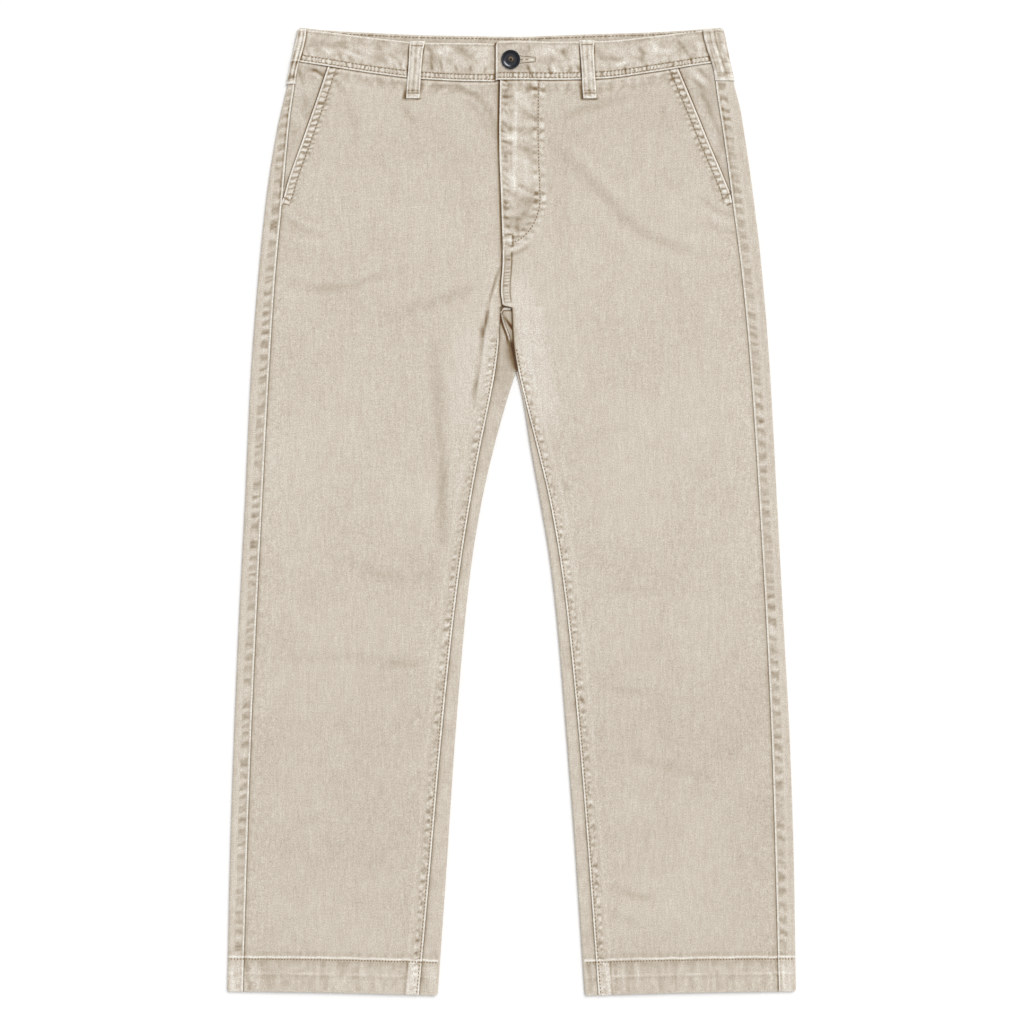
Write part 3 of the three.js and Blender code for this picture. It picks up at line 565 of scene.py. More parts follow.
# Distances of the columns beside a seam or the fly, and shares of a strip's width
SEAM_STEPS = np.array([0, 0.5, 1.0, 1.6, 2.3, 3.1, 4.0, 5.1, 6.4, 7.8, 8.8, 9.8, 11.2, 13, 15, 17.5])
FLY_STEPS = np.concatenate([SEAM_STEPS, [20, 23, 26, 29, 32, 35, 37.5, 39.5, 41, 42, 43, 44.5, 47, 50]])
OUTSEAM_STRIP_STEPS = np.array([0, 0.05, 0.1, 0.16, 0.23, 0.31, 0.4, 0.5, 0.6, 0.7, 0.8, 0.9, 1.0])
INSEAM_STRIP_STEPS = np.array([0, 0.12, 0.26, 0.4, 0.54, 0.68, 0.8, 0.88, 0.94, 1.0])
BAND_LEVELS = np.concatenate([
    [0, 0.018, 0.036], np.linspace(0.06, 0.24, 9), np.linspace(0.27, 0.94, 20), [0.962, 0.982, 1.0],
])


class Sheet:
    """Rows of points of a sheet of cloth, the faces between them, how crinkled it is, and how worn it is
    together with the painted shade and light on it.
    """

    def __init__(self):
        self.points, self.normals, self.walls, self.faces = [], [], [], []
        self.wear, self.crinkle = [], []
        self.count = 0

    def add(self, x, y, z, normal, wall, wear, crinkle):
        """Adds rows of points and returns their numbers. normal is x and z, broadcast like the rest."""
        shape = np.broadcast(x, y, z).shape
        numbers = np.arange(self.count, self.count + x.size).reshape(shape)
        values = (x, y, z, normal[0], normal[1], wall, wear, crinkle)
        full = [np.broadcast_to(value, shape).ravel() for value in values]
        self.points.append(np.stack(full[:3], axis=1))
        self.normals.append(np.stack([full[3], np.zeros(x.size), full[4]], axis=1))
        self.walls.append(full[5])
        self.wear.append(full[6])
        self.crinkle.append(full[7])
        self.count += x.size
        return numbers

    def join(self, numbers):
        """Adds the faces between rows of numbered points."""
        quads = [numbers[:-1, :-1], numbers[:-1, 1:], numbers[1:, 1:], numbers[1:, :-1]]
        self.faces.append(np.stack([quad.ravel() for quad in quads], axis=1))

    def build(self, name, material, smooth_angle=50):
        """A closed mesh: the sheet, its copy one wall further in, and the rim between them."""
        outer = np.concatenate(self.points)
        normals = np.concatenate(self.normals)
        walls = np.concatenate(self.walls)[:, None]
        faces = np.concatenate(self.faces)
        # Faces are turned so that they point the way the given normals do
        a, b, d = (outer[faces[:, i]] for i in (0, 1, 3))
        if np.einsum("ij,ij->", np.cross(b - a, d - a), normals[faces[:, 0]]) < 0:
            faces = faces[:, ::-1]
        # Edges with one face are the sheet's rim, which the wall closes
        edges = np.concatenate([faces[:, [i, (i + 1) % 4]] for i in range(4)])
        keys = edges.min(axis=1) * self.count + edges.max(axis=1)
        _, first, uses = np.unique(keys, return_index=True, return_counts=True)
        rim = edges[first[uses == 1]]
        rims = np.stack([rim[:, 1], rim[:, 0], rim[:, 0] + self.count, rim[:, 1] + self.count], axis=1)
        inside = faces[:, ::-1] + self.count
        points = np.concatenate([outer, outer - normals * walls]) * MM
        mesh = bpy.data.meshes.new(name)
        mesh.from_pydata(points.tolist(), [], np.concatenate([faces, inside, rims]).tolist())
        # The first attribute holds the worn fading of the cloth together with its painted shade and light
        for label, parts in (("wear", self.wear), ("crinkle", self.crinkle)):
            values = np.concatenate(parts + parts).astype(np.float32)
            mesh.attributes.new(label, "FLOAT", "POINT").data.foreach_set("value", values)
        mesh.shade_smooth()
        mesh.set_sharp_from_angle(angle=radians(smooth_angle))
        mesh.materials.append(material)
        piece = bpy.data.objects.new(name, mesh)
        bpy.context.collection.objects.link(piece)
        return piece

    def area(self):
        """The area of the sheet's outer face, in square metres."""
        outer, faces = np.concatenate(self.points), np.concatenate(self.faces)
        a, b, c, d = (outer[faces[:, i]] for i in range(4))
        return np.linalg.norm(np.cross(c - a, d - b), axis=1).sum() / 2 * MM * MM

    def length(self):
        """The sheet's length as it lies, in metres."""
        return np.ptp(np.concatenate(self.points)[:, 1]) * MM


def cloth_piece(sheet, part, side, slot, material, flat, *below):
    """Makes a sheet the piece of its node and hides the node's own part. Its flat size and the parts that it
    lies on are not used.
    """
    name = f"{part}_{WORDS[side]}"
    piece = sheet.build(f"{name}_twill", material)
    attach(piece, "root")
    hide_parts(name)
    sheet.area()


def columns(start, end, near_start, near_end, between):
    """Columns between two bounds for each row: set distances from each bound, even steps between."""
    start, end = np.atleast_1d(start)[:, None], np.atleast_1d(end)[:, None]
    direction = np.sign(end - start)
    first = start + direction * np.asarray(near_start)
    last = (end - direction * np.asarray(near_end))[:, ::-1]
    steps = np.arange(1, between + 1) / (between + 1)
    return np.concatenate([first, mix(first[:, -1:], last[:, :1], steps), last], axis=1)


def front_bounds(side, rows):
    """Outer and inner edges of a front at each row."""
    seam = outseam[side](rows) - side * SEAM_GAP / 2
    slant = pocket_slant[side](rows)
    slant = pocket_slant[side](row_place(side, rows, slant, 0))
    outer = np.where(rows >= POCKET_BOTTOM, slant, seam)
    edge = centre_front(rows)
    if side == RIGHT:
        edge = edge + FLY_UNDERLAP * ease((rows - 205) / 90)
    crotch = ease((rows - CROTCH_POINT) / (CENTRE_FRONT_BOTTOM - CROTCH_POINT))
    return outer, mix(inseam[side](rows) + side * SEAM_GAP / 2, edge, crotch)


def fly_curve(x, y):
    """Distance outside the fly's curved stitching: below zero inside it."""
    from_edge = x - centre_front(y)
    depth = FLY_STRAIGHT_BOTTOM - FLY_BOTTOM
    round_part = (np.hypot(from_edge / FLY_WIDTH, (FLY_STRAIGHT_BOTTOM - y) / depth) - 1) * FLY_WIDTH
    return np.where(y > FLY_STRAIGHT_BOTTOM, from_edge - FLY_WIDTH, round_part)


def hem_detail(side, row, x, from_inseam):
    """Relief and colour value of the turned-up hem: its stitched groove, gathers and pale worn lines. Its
    dark lines and the light and dark of its gathers are painted shade and light.
    """
    above = row + 0.5 * noise(x, 0 * row, 9, 70) - HEM_STITCH
    turned_up = ease(-above / 1.6)
    lean = x + 0.12 * above
    gathers = 0.7 * puckers(lean, 16, 20 + side, 0.4 * above)
    gathers = gathers + 0.5 * puckers(lean, 7.5, 21 + side, 0.3 * above)
    over_stitches = 0.5 + 0.5 * puckers(x, 6.5, 24 + side)
    under_stitches = 0.5 + 0.5 * puckers(x, 5.2, 25 + side)
    lapped = turned_up * ease((from_inseam - 1) / 2) * ease((15 - from_inseam) / 1.5)
    relief = marks(above, (-HEM_STITCH_DROP, 1.1, -0.4), (1.2, 1.4, 0.2)) + rounded_edge(row - HEM, 1.2, 0.7)
    relief = relief + 0.22 * turned_up + 0.25 * lapped + 0.16 * gathers * strip(-above, 2, 33, 4)
    wear = marks(
        above,
        (0.8, 0.85, 1.1 + 0.25 * noise(x, row, 8, 73)),
        (0.2 - HEM_STITCH_DROP, 1.0, -0.3),
        (-3.4, 1.6, -0.16 * turned_up),
        (-17, 0.95, 0.25 + 0.3 * noise(x, 0 * row, 14, 74)),
        (-19.6, 1.8, -0.16),
    )
    wear = wear + (0.25 * gathers + 0.02) * strip(-above, 3, 34, 3) + marks(row - HEM, (0.4, 1.0, 0.25))
    wear = wear - 0.24 * over_stitches * strip(above, 2.4, 7, 3)
    wear = wear - 0.2 * under_stitches * strip(-above, 3, 9, 3)
    return relief, wear + 0.5 * lapped + marks(from_inseam, (15.4, 0.9, -0.6 * turned_up))


def slant_detail(y, distance, side):
    """Relief and colour value along a pocket's slanted edge: a stitched double edge gathered into rungs, with
    a pale worn edge and painted shade and light on its lines and rungs.
    """
    along = y * 1.07
    rungs = puckers(along, 6.7, 30 + side, distance, 0.75, 0.35)
    ticks = puckers(along + 0.15 * distance, 6.7, 30 + side, distance, 0.4, 0.35)
    relief = 0.35 * ease((8.4 - distance) / 1.5) + marks(distance, (POCKET_STITCH_IN, 1.0, -0.35))
    relief = relief + 0.24 * rungs * strip(distance, 2.2, 7.8, 1.5) + rounded_edge(distance, 1.0, 0.5)
    relief = relief + 0.1 * ticks * strip(distance, 9.8, 13.4, 2)
    wear = marks(distance, (0.8, 0.95, 1.0), (POCKET_STITCH_IN, 0.9, -0.5), (2.3, 0.7, -0.5))
    wear = wear + (0.95 * rungs + 0.02) * strip(distance, 2.6, 7.9, 1.0)
    return relief, wear + 0.55 * ticks * strip(distance, 9.8, 13.4, 1.6) - 0.08 * strip(distance, 9, 16, 3)


def inseam_detail(y, distance, side):
    """Relief and colour value of the lapped inseam on the front's side: a pale worn edge, with painted shade
    and light on its stitching line and gathers.
    """
    along = y * 1.02 + 0.35 * distance
    gathers = puckers(along, 9.2, 34 + side, distance, 0.4)
    ticks = puckers(along, 4.3, 36 + side, distance)
    relief = 0.6 * (1 - ease(distance / 11)) + marks(distance, (INSEAM_STITCH_IN, 0.8, -0.25))
    relief = relief + 0.24 * gathers * strip(distance, 4, 10.5, 2) + rounded_edge(distance, 0.9, 0.5)
    wear = marks(distance, (0.75, 0.95, 1.0), (INSEAM_STITCH_IN, 0.9, -0.3), (14.5, 1.5, 0.16))
    wear = wear + (0.48 * gathers - 0.04) * strip(distance, 4.0, 9.5, 1.4)
    return relief, wear + 0.4 * ticks * strip(distance, 3.6, 8.5, 1)


def waist_detail(x, y, side):
    """Relief and colour value of a panel just under the waistband: a painted shadow along the waist seam, and
    painted shade and light on its gathers.
    """
    below = front_seam(x) - y
    gathers = puckers(x + 0.3 * below * side, 11, 38 + side, below)
    small = puckers(x, 5.5, 39 + side, below)
    relief = 0.14 * gathers * strip(below, 1.5, 14, 5) - 0.3 * line(below, 1.6)
    wear = marks(below, (0.1, 1.0, -1.2), (2.6, 1.1, 0.3)) + (0.2 * gathers - 0.1) * strip(below, 3, 14, 5)
    return relief, wear + 0.16 * small * strip(below, 2.6, 7, 2)


# Faded and dark patches of the fly: both ends, reach across and strength
FLY_PATCHES = [
    ((10.368, 432.0), (26.568, 425.52), 3.4, -0.35), ((-9.072, 414.72), (22.248, 411.48), 4.0, -0.5),
    ((-6.912, 449.28), (0.648, 448.2), 2.5, -0.35), ((-7.992, 399.6), (0.648, 397.44), 2.2, -0.45),
    ((-7.992, 388.8), (-0.432, 387.72), 2.0, -0.4), ((8.208, 393.12), (23.328, 388.8), 3.6, -0.35),
    ((9.288, 352.08), (25.488, 343.44), 3.8, -0.55), ((-5.832, 345.6), (4.968, 341.28), 3.0, -0.35),
    ((-7.992, 330.48), (1.728, 328.32), 2.4, -0.4), ((10.368, 336.96), (24.408, 332.64), 3.0, -0.3),
    ((-7.992, 318.6), (8.208, 316.44), 2.2, -0.45), ((4.968, 313.2), (8.208, 298.08), 1.6, -0.5),
    ((11.448, 321.84), (22.248, 315.36), 3.0, -0.25), ((-5.832, 308.88), (4.968, 306.72), 2.2, -0.3),
    ((-4.752, 367.2), (2.808, 362.88), 2.4, -0.25), ((7.128, 463.32), (22.248, 457.92), 3.2, -0.3),
    ((3.888, 462.24), (3.888, 419.04), 1.1, 0.8), ((3.348, 416.88), (3.348, 347.76), 1.6, 0.7),
    ((-5.832, 403.92), (17.928, 402.84), 1.4, 0.45), ((-3.672, 373.68), (1.728, 354.24), 3.0, 0.4),
    ((7.128, 349.92), (22.248, 341.28), 1.2, 0.6), ((6.048, 453.6), (11.448, 440.64), 1.4, 0.3),
    ((-6.912, 436.32), (0.648, 436.32), 1.8, 0.3), ((15.768, 382.32), (16.848, 352.08), 2.2, 0.25),
]


def fly_detail(x, y):
    """Relief and colour value of the left front's fly: raised facing, curved stitching and worn strips, with
    painted shade and light on its gathers, rungs and stitched lines and round its bar tack.
    """
    outside = fly_curve(x, y)
    from_edge = x - centre_front(y)
    upper = ease((y - CENTRE_FRONT_BOTTOM) / 3)
    fly = ease((y - 262) / 40)
    gathers = puckers(y + 0.25 * outside, 9.0, 44, outside)
    rungs = puckers(y + 0.35 * from_edge, 7.6, 48, from_edge)
    mottle = 0.5 * noise(x, y, 8, 45) + 0.6 * noise(x, y * 0.6, 15, 46)
    relief = upper * (FLY_RELIEF * ease(-outside / 4) + rounded_edge(from_edge, 1.1, 0.6))
    relief = relief + fly * 0.2 * gathers * strip(np.abs(outside), 1.5, 8, 2)
    relief = relief + fly * (0.12 * rungs * strip(from_edge, 2.4, 9, 2) - 0.3 * line(outside, 0.9))
    wear = marks(from_edge, (0.7, 0.9, upper)) + fly * marks(outside, (0, 1.0, -0.35), (3, 5, 0.12))
    wear = wear + fly * (0.7 * gathers - 0.04) * strip(np.abs(outside), 1.4, 6.5, 1.6)
    wear = wear + fly * (0.5 * rungs - 0.1) * strip(from_edge, 2.4, 8.5, 2)
    wear = wear + fly * (0.06 + 0.3 * mottle) * ease(-outside / 3) * ease((from_edge - 3) / 3)
    for start, end, reach, strength in FLY_PATCHES:
        distance, _ = near_path(x, y, [start, end])
        patch = 1.4 * strength * line(distance, reach) * (0.75 + 0.5 * noise(x, y, 5, 49))
        relief, wear = relief + 0.25 * patch, wear + patch
    curve_end = line(y - 283, 14) * strip(from_edge, 8, 30, 6)
    wear = wear + curve_end * marks(outside, (5.5, 1.5, 0.45), (9.5, 1.8, -0.4))
    tack_x, tack_y = x + 3.9, y - 292.7
    from_tack = np.maximum(np.abs(tack_x) - 5.4, np.abs(tack_y - 0.15 * tack_x) - 6.4)
    relief = relief - 0.2 * line(from_tack, 0.9)
    wear = wear - 1.1 * line(from_tack, 0.8) + 0.5 * ease(-from_tack / 2) * (0.7 + 0.6 * noise(x, y, 4, 50))
    below_fly = strip(y, 226, 281, 4)
    ladder = puckers(y, 3.6, 47, 0.0, 0.5, 0.4)
    steps = strip(from_edge, 3.2, 8.6, 1)
    relief = relief + below_fly * (0.18 * ladder * steps + marks(from_edge, (9.8, 1.2, -0.3)))
    wear = wear + below_fly * (0.75 * ladder - 0.2) * steps
    wear = wear + below_fly * marks(from_edge, (2.4, 0.8, -0.75), (9.9, 0.9, -1.15))
    from_cross = (y - CENTRE_FRONT_BOTTOM) * ease((14 - from_edge) / 3)
    return relief, wear + upper * marks(from_cross, (1.6, 1.0, 0.5)) * ease((12 - from_edge) / 2)


def front_surface(side, rows, x, bounds):
    """Height, colour value and crinkle of a front's upper face; the colour value holds worn fading together
    with painted shade and light.
    """
    y = row_place(side, rows, x, 0)
    from_outer, from_inner = (np.abs(x - bound) for bound in bounds)
    nearest = np.minimum(from_outer, from_inner)
    below_waist = front_seam(x) - y
    undulation, creases = crease_relief(side, x, y)
    relief = undulation * (0.3 + 0.7 * ease(nearest / 14) * ease(below_waist / 10)) + creases
    height = cloth_height(side, x, y)
    # The undulation and the creases lighten their rises and darken their dips as painted light and shade, the
    # cloth is painted a little darker towards the hem and towards the waist as shade, and beside the belt
    # loops it takes a painted shadow
    wear = 0.25 * undulation + 0.62 * creases - 0.07 * ease((60 - y) / 320) - 0.035 * ease((y - 300) / 120)
    wear = wear - 1.5 * loop_shade(x, y)
    crinkle = 0.08 + 0.3 * strip(below_waist, 0, 16, 14)
    if side == RIGHT:
        from_centre = centre_front(y) - x
        lapped = ease((y - 205) / 25)
        under = ease((UNDERLAP_RAMP + 2 - from_centre) / UNDERLAP_RAMP) * ease((y - 195) / 30)
        low = mix(UNDERLAP_HEIGHT_AT_CROTCH, UNDERLAP_HEIGHT, ease((y - CENTRE_FRONT_BOTTOM) / 70))
        height = mix(height + relief, low, under)
        # A painted shadow along the centre front, where the left front's fly edge laps over
        wear = wear + marks(from_centre, (0, 1.25, -2.3 * lapped), (0, 4, -0.3 * lapped))
    else:
        fly_relief, fly_wear_and_shade = fly_detail(x, y)
        height = height + relief * ease((x - centre_front(y) - 4) / 16) + fly_relief
        wear = wear + fly_wear_and_shade
        crinkle = crinkle + 0.28 * ease((8 - fly_curve(x, y)) / 8) * ease((y - 262) / 30)
    open_pocket = rows >= POCKET_BOTTOM
    slant_relief, slant_wear_and_shade = slant_detail(y, from_outer * SLANT_COSINE, side)
    gathers = puckers(y, 12, 40 + side, from_outer)
    seam_relief = 0.08 * gathers * strip(from_outer, 1.5, 8, 3) - 0.12 * (1 - ease(from_outer / 3))
    seam_wear_and_shade = marks(from_outer, (0.2, 0.8, -0.75), (2.0, 1.6, -0.14))
    seam_wear_and_shade = seam_wear_and_shade + 0.08 * gathers * strip(from_outer, 2, 8, 3)
    lap_relief, lap_wear_and_shade = inseam_detail(y, from_inner, side)
    sewn = ease(((198 if side == RIGHT else 178) - y) / 14)
    for detail_relief, detail_wear_and_shade in (
        (np.where(open_pocket, slant_relief, seam_relief), np.where(open_pocket, slant_wear_and_shade, seam_wear_and_shade)),
        (lap_relief * sewn, lap_wear_and_shade * sewn),
        hem_detail(side, rows, x, from_inner),
        waist_detail(x, y, side),
    ):
        height, wear = height + detail_relief, wear + detail_wear_and_shade
    crinkle = crinkle + 0.16 * ease((15 - nearest) / 6) + 0.12 * ease((HEM_STITCH + 3 - rows) / 3)
    # Painted shade along the inner edge by the crotch, and painted light on the raised cloth a little way in
    # from it
    crotch_shade, crotch_painted_light = (1, 0.26) if side == LEFT else (0.4, 0.04)
    wear = wear + crotch_shade * strip(y, 158, 226, 14) * marks(from_inner, (0, 1.1, -1.5), (0, 3, -0.25))
    wear = wear + crotch_painted_light * strip(from_inner, 6, 34, 14) * strip(y, 95, 250, 50)
    return y, height, wear, crinkle


def front_panel(side, material):
    """One front, from its pocket edge and outseam to the fly and the inseam."""
    rows = FRONT_ROWS
    outer, inner = front_bounds(side, rows)
    near_inner = FLY_STEPS if side == LEFT else SEAM_STEPS
    x = columns(outer, inner, SEAM_STEPS, near_inner, FRONT_COLUMNS)
    y, z, wear, crinkle = front_surface(side, rows[:, None], x, (outer[:, None], inner[:, None]))
    wall = np.where(rows[:, None] < HEM_STITCH, HEM_WALL, PANEL_WALL)
    sheet = Sheet()
    sheet.join(sheet.add(x, y, z, (0.0, 1.0), wall, wear, crinkle))
    width = float(np.abs(outer - inner).max()) * MM * 1.01
    cloth_piece(sheet, "front", side, "twill", material, (width, sheet.length()), "back", "pocket_facing")


def fold_arc(fold, side, height, downwards):
    """Half a turn round a fold, without its ends: x, z and the normal. It bulges towards side."""
    turned = pi * np.arange(1, FOLD_STEPS) / FOLD_STEPS
    angle = pi / 2 - turned if downwards else turned - pi / 2
    radius = height / 2
    x = fold - side * radius + side * radius * np.cos(angle)
    return x, radius + radius * np.sin(angle), side * np.cos(angle), np.sin(angle)


def side_by_side(*parts):
    """Joins parts of the same rows into one grid. A part is its x, then other values of its points."""
    full = [[np.broadcast_to(np.asarray(value, float), part[0].shape) for value in part] for part in parts]
    return [np.concatenate(values, axis=1) for values in zip(*full)]


def outseam_detail(y, distance, side):
    """Relief and colour value of the back's strip along the outseam, which laps over the front: a pale worn
    edge, with painted shade and light on its gathers and lines.
    """
    along = y * 1.01 + 0.25 * distance
    gathers = puckers(along, 13.2, 60 + side, distance, 0.3)
    small = puckers(along, 6.1, 61 + side, distance)
    above_hem = mix(0.3, 1, ease((y - HEM_STITCH) / 5))
    dots = np.clip(puckers(y, 2.5, 63 + side, 0.0, 0.5, 0.4), -0.4, 1)
    stitched = (0.5 + 0.5 * dots) * strip(y, 325, 445, 20)
    relief = 0.35 * (1 - ease(distance / 3.2)) + rounded_edge(distance, 0.8, 0.4)
    relief = relief + 0.2 * gathers * strip(distance, 3, 11, 2)
    wear = marks(distance, (0.75, 0.8, 0.85), (2.6, 0.9, -0.2), (2.7, 0.75, -stitched), (12.5, 1.6, 0.14))
    wear = wear + (0.42 * gathers + 0.2 * small - 0.15) * strip(distance, 2.6, 10.5, 2.0) * above_hem
    return relief, wear + 0.45 * (1 - above_hem) * strip(distance, 3.5, 13, 2)


def under_wear(side, x, row):
    """Wear of the hidden underside: soft mottling, and the centre back seam's light edge."""
    from_seam = np.where(row > CROTCH_APEX, np.abs(x - centre_back(row)), FAR_AWAY)
    return 0.14 * noise(x, row, 40, 81) + marks(from_seam, (0.8, 1.0, 0.9), (3.2, 0.9, -0.5))


def back_grid(side, rows, inner_end):
    """The back from the outseam round the side fold and under to inner_end."""
    r = rows[:, None]
    fold = outer_fold[side](r)
    seam = outseam[side](r) + side * SEAM_GAP / 2
    height = cloth_height(side, fold, r)
    top = fold - side * height / 2
    strip_x = mix(seam, top, OUTSEAM_STRIP_STEPS)
    from_seam = np.abs(strip_x - seam)
    relief, strip_wear_and_shade = outseam_detail(r, from_seam, side)
    strip_z = cloth_height(side, strip_x, r) + relief * ease((np.abs(top - seam) - from_seam) / 3)
    strip_z[:, -1:] = height
    arc = fold_arc(fold, side, height, True)
    under_x = columns(top[:, 0], inner_end, [0, 4, 9], [0, 1, 2.2, 3.4, 5, 9], UNDER_COLUMNS)
    from_ends = np.minimum(np.abs(under_x - top), np.abs(under_x - inner_end[:, None]))
    creases = placed_creases(side, under_x, r, BACK_CREASES, 110) * ease(from_ends / 14)
    # On the underside the creases darken their dips as painted shade
    x, z, nx, nz, wear = side_by_side(
        (strip_x, strip_z, 0, 1, strip_wear_and_shade),
        (*arc, 0.1 * noise(arc[1], arc[0] + r, 9, 62)),
        (under_x, np.maximum(-creases, 0), 0, -1, under_wear(side, under_x, r) + 0.62 * creases),
    )
    hem_relief, hem_wear_and_shade = hem_detail(side, r, x, np.full_like(x, FAR_AWAY))
    z = z + hem_relief * np.where(nz > UPPER_FACE, 1, 0) * ease((np.abs(fold - x) - 2) / 4)
    return x, z, nx, nz, wear + hem_wear_and_shade * (0.35 + 0.65 * np.clip(nz, 0, 1))


def inner_strip(side, rows, start, start_height, sink):
    """The back's strip on the upper face beside the inseam."""
    r = rows[:, None]
    seam = inseam[side](r) - side * SEAM_GAP / 2
    x = mix(start, seam, INSEAM_STRIP_STEPS)
    from_seam, from_start = np.abs(seam - x), np.abs(x - start)
    valley = np.maximum(sink, 0.3 * (1 - ease(from_seam / 3)))
    z = cloth_height(side, x, r) - valley * ease(from_start / 1.5)
    z[:, :1] = start_height
    # A dark line along the inseam, and a darkening towards the crotch apex, are painted shade
    wear = marks(from_seam, (0.1, 0.8, -0.75), (1.6, 1.5, -0.2)) + 0.1 * noise(x, r, 14, 64)
    hem_relief, hem_wear_and_shade = hem_detail(side, r, x, np.full_like(x, FAR_AWAY))
    return x, z + hem_relief * ease(from_start / 4), wear + hem_wear_and_shade - 0.2 * line(r - CROTCH_APEX, 26)


def gusset_shade_and_wear(side, y, x, from_seat):
    """Painted shade where the crotch seams meet: the deep shadow over the strips, a dark fold stroke and dark
    lines beside the light lines of the seams, which are partly worn and partly painted light.
    """
    seen = ease((y - SEAT_HIDDEN) / 7)
    above_apex = y - CROTCH_APEX
    from_cross = y - CROTCH_POINT + 0.8 + 4.5 * ease((-8 - x) / 4)
    wear = marks(from_cross, (0, 0.9, 1.4), (-2.2, 0.9, -0.8), (2.4, 1.3, -1.3))
    if side == RIGHT:
        wear = wear - 0.1 + marks(from_seat, (0.6, 1.0, 0.75 * seen), (2.7, 1.2, -2.3 * seen))
        wide, narrow = 0.85 * ease(above_apex / 18), 0.9 * ease(above_apex / 6)
        return wear - (1 - seen) * marks(from_seat, (0, 7.0, wide), (0, 2.0, narrow))
    from_stroke, along = near_path(x, y, GUSSET_STROKE)
    wear = wear - 0.25 * seen - 1.6 * (1 - seen) * ease((above_apex + 2) / 6)
    wear = wear + marks(from_seat, (0, 1.5, -0.35 * seen))
    return wear + marks(from_stroke, (0, 1.1, -0.87 - 2.03 * along))


def back_panel(side, material):
    """One back: its leg round both folds, its seat underneath and the strip above the crotch."""
    sheet = Sheet()

    def place(rows, x, z, nx, nz, wear):
        r = rows[:, None]
        wall = np.where(r < HEM_STITCH, HEM_WALL, PANEL_WALL)
        corner = HEM_CORNER * np.abs(nx) * line(r - HEM, 1.2)
        y = row_place(side, r, x, (1 - nz) / 2) + corner
        return sheet.add(x, y, z, (nx, nz), wall, wear, 0.2)

    # The leg: from the outseam round both folds to the inseam
    rows = LEG_ROWS
    fold = inner_fold[side](rows)[:, None]
    height = cloth_height(side, fold, rows[:, None])
    top = fold + side * height / 2
    strip_x, strip_z, strip_wear_and_shade = inner_strip(side, rows, top, height, 0)
    leg = place(rows, *side_by_side(
        back_grid(side, rows, top[:, 0]),
        (*fold_arc(fold, -side, height, False), 0),
        (strip_x, strip_z, 0, 1, strip_wear_and_shade),
    ))
    sheet.join(leg)

    # The seat: under the trousers to the centre back seam
    rows = np.concatenate([GUSSET_ROWS[1:], HIP_ROWS[1:]])
    seat = place(rows, *back_grid(side, rows, centre_back(rows) + side * SEAM_GAP / 2))
    sheet.join(np.concatenate([leg[-1:, : seat.shape[1]], seat]))

    # The gusset: the strip that shows above the crotch, tucked under the fronts at its top
    rows = np.concatenate([GUSSET_ROWS[1:], GUSSET_TUCK_ROWS[1:]])
    r = rows[:, None]
    start = seat_seam(r) + side * SEAM_GAP / 2
    sink = GUSSET_SINK * ease((r - CROTCH_APEX) / GUSSET_SINK_REACH)
    x, z, wear = inner_strip(side, rows, start, cloth_height(side, start, r) - sink, sink)
    z = mix(z, np.minimum(z, GUSSET_TUCK_HEIGHT), ease((r - GUSSET_TOP + 1) / 2))
    wear = wear + gusset_shade_and_wear(side, r, x, np.abs(x - start))
    gusset = place(rows, x, z, 0 * x, 0 * x + 1, wear)
    sheet.join(np.concatenate([leg[-1:, -gusset.shape[1] :], gusset]))

    legs = np.abs(outer_fold[side](LEG_ROWS) - inner_fold[side](LEG_ROWS)).max()
    width = float(legs + BACK_WRAP) * MM
    cloth_piece(sheet, "back", side, "twill", material, (width, sheet.length()))


# Folds in the pocket facings: path, reach across and depth. The depth also darkens the colour in the dips and
# lightens it on the rises, as painted shade and light.
FACING_FOLDS = {
    RIGHT: [
        ([(-219, 478), (-211, 477), (-204, 472), (-198, 470)], 1.6, -0.8),
        ([(-219, 474), (-211, 472), (-205, 467)], 1.6, 0.4),
        ([(-231, 480), (-227, 470), (-225, 458)], 1.8, -0.45),
        ([(-227, 456), (-222, 440), (-224, 420)], 4.0, -0.2),
        ([(-237, 428), (-234, 405), (-239, 385)], 3.0, -0.16),
    ],
    LEFT: [
        ([(194, 470), (203, 461), (211, 455)], 2.2, -0.5),
        ([(198, 482), (207, 474), (216, 465)], 2.2, -0.45),
        ([(194, 476), (204, 468), (213, 460)], 2.0, 0.35),
        ([(202, 455), (210, 445), (217, 432)], 2.6, -0.35),
        ([(210, 438), (218, 425), (224, 408)], 2.6, -0.3),
        ([(222, 420), (228, 400), (231, 380)], 3.0, -0.25),
    ],
}


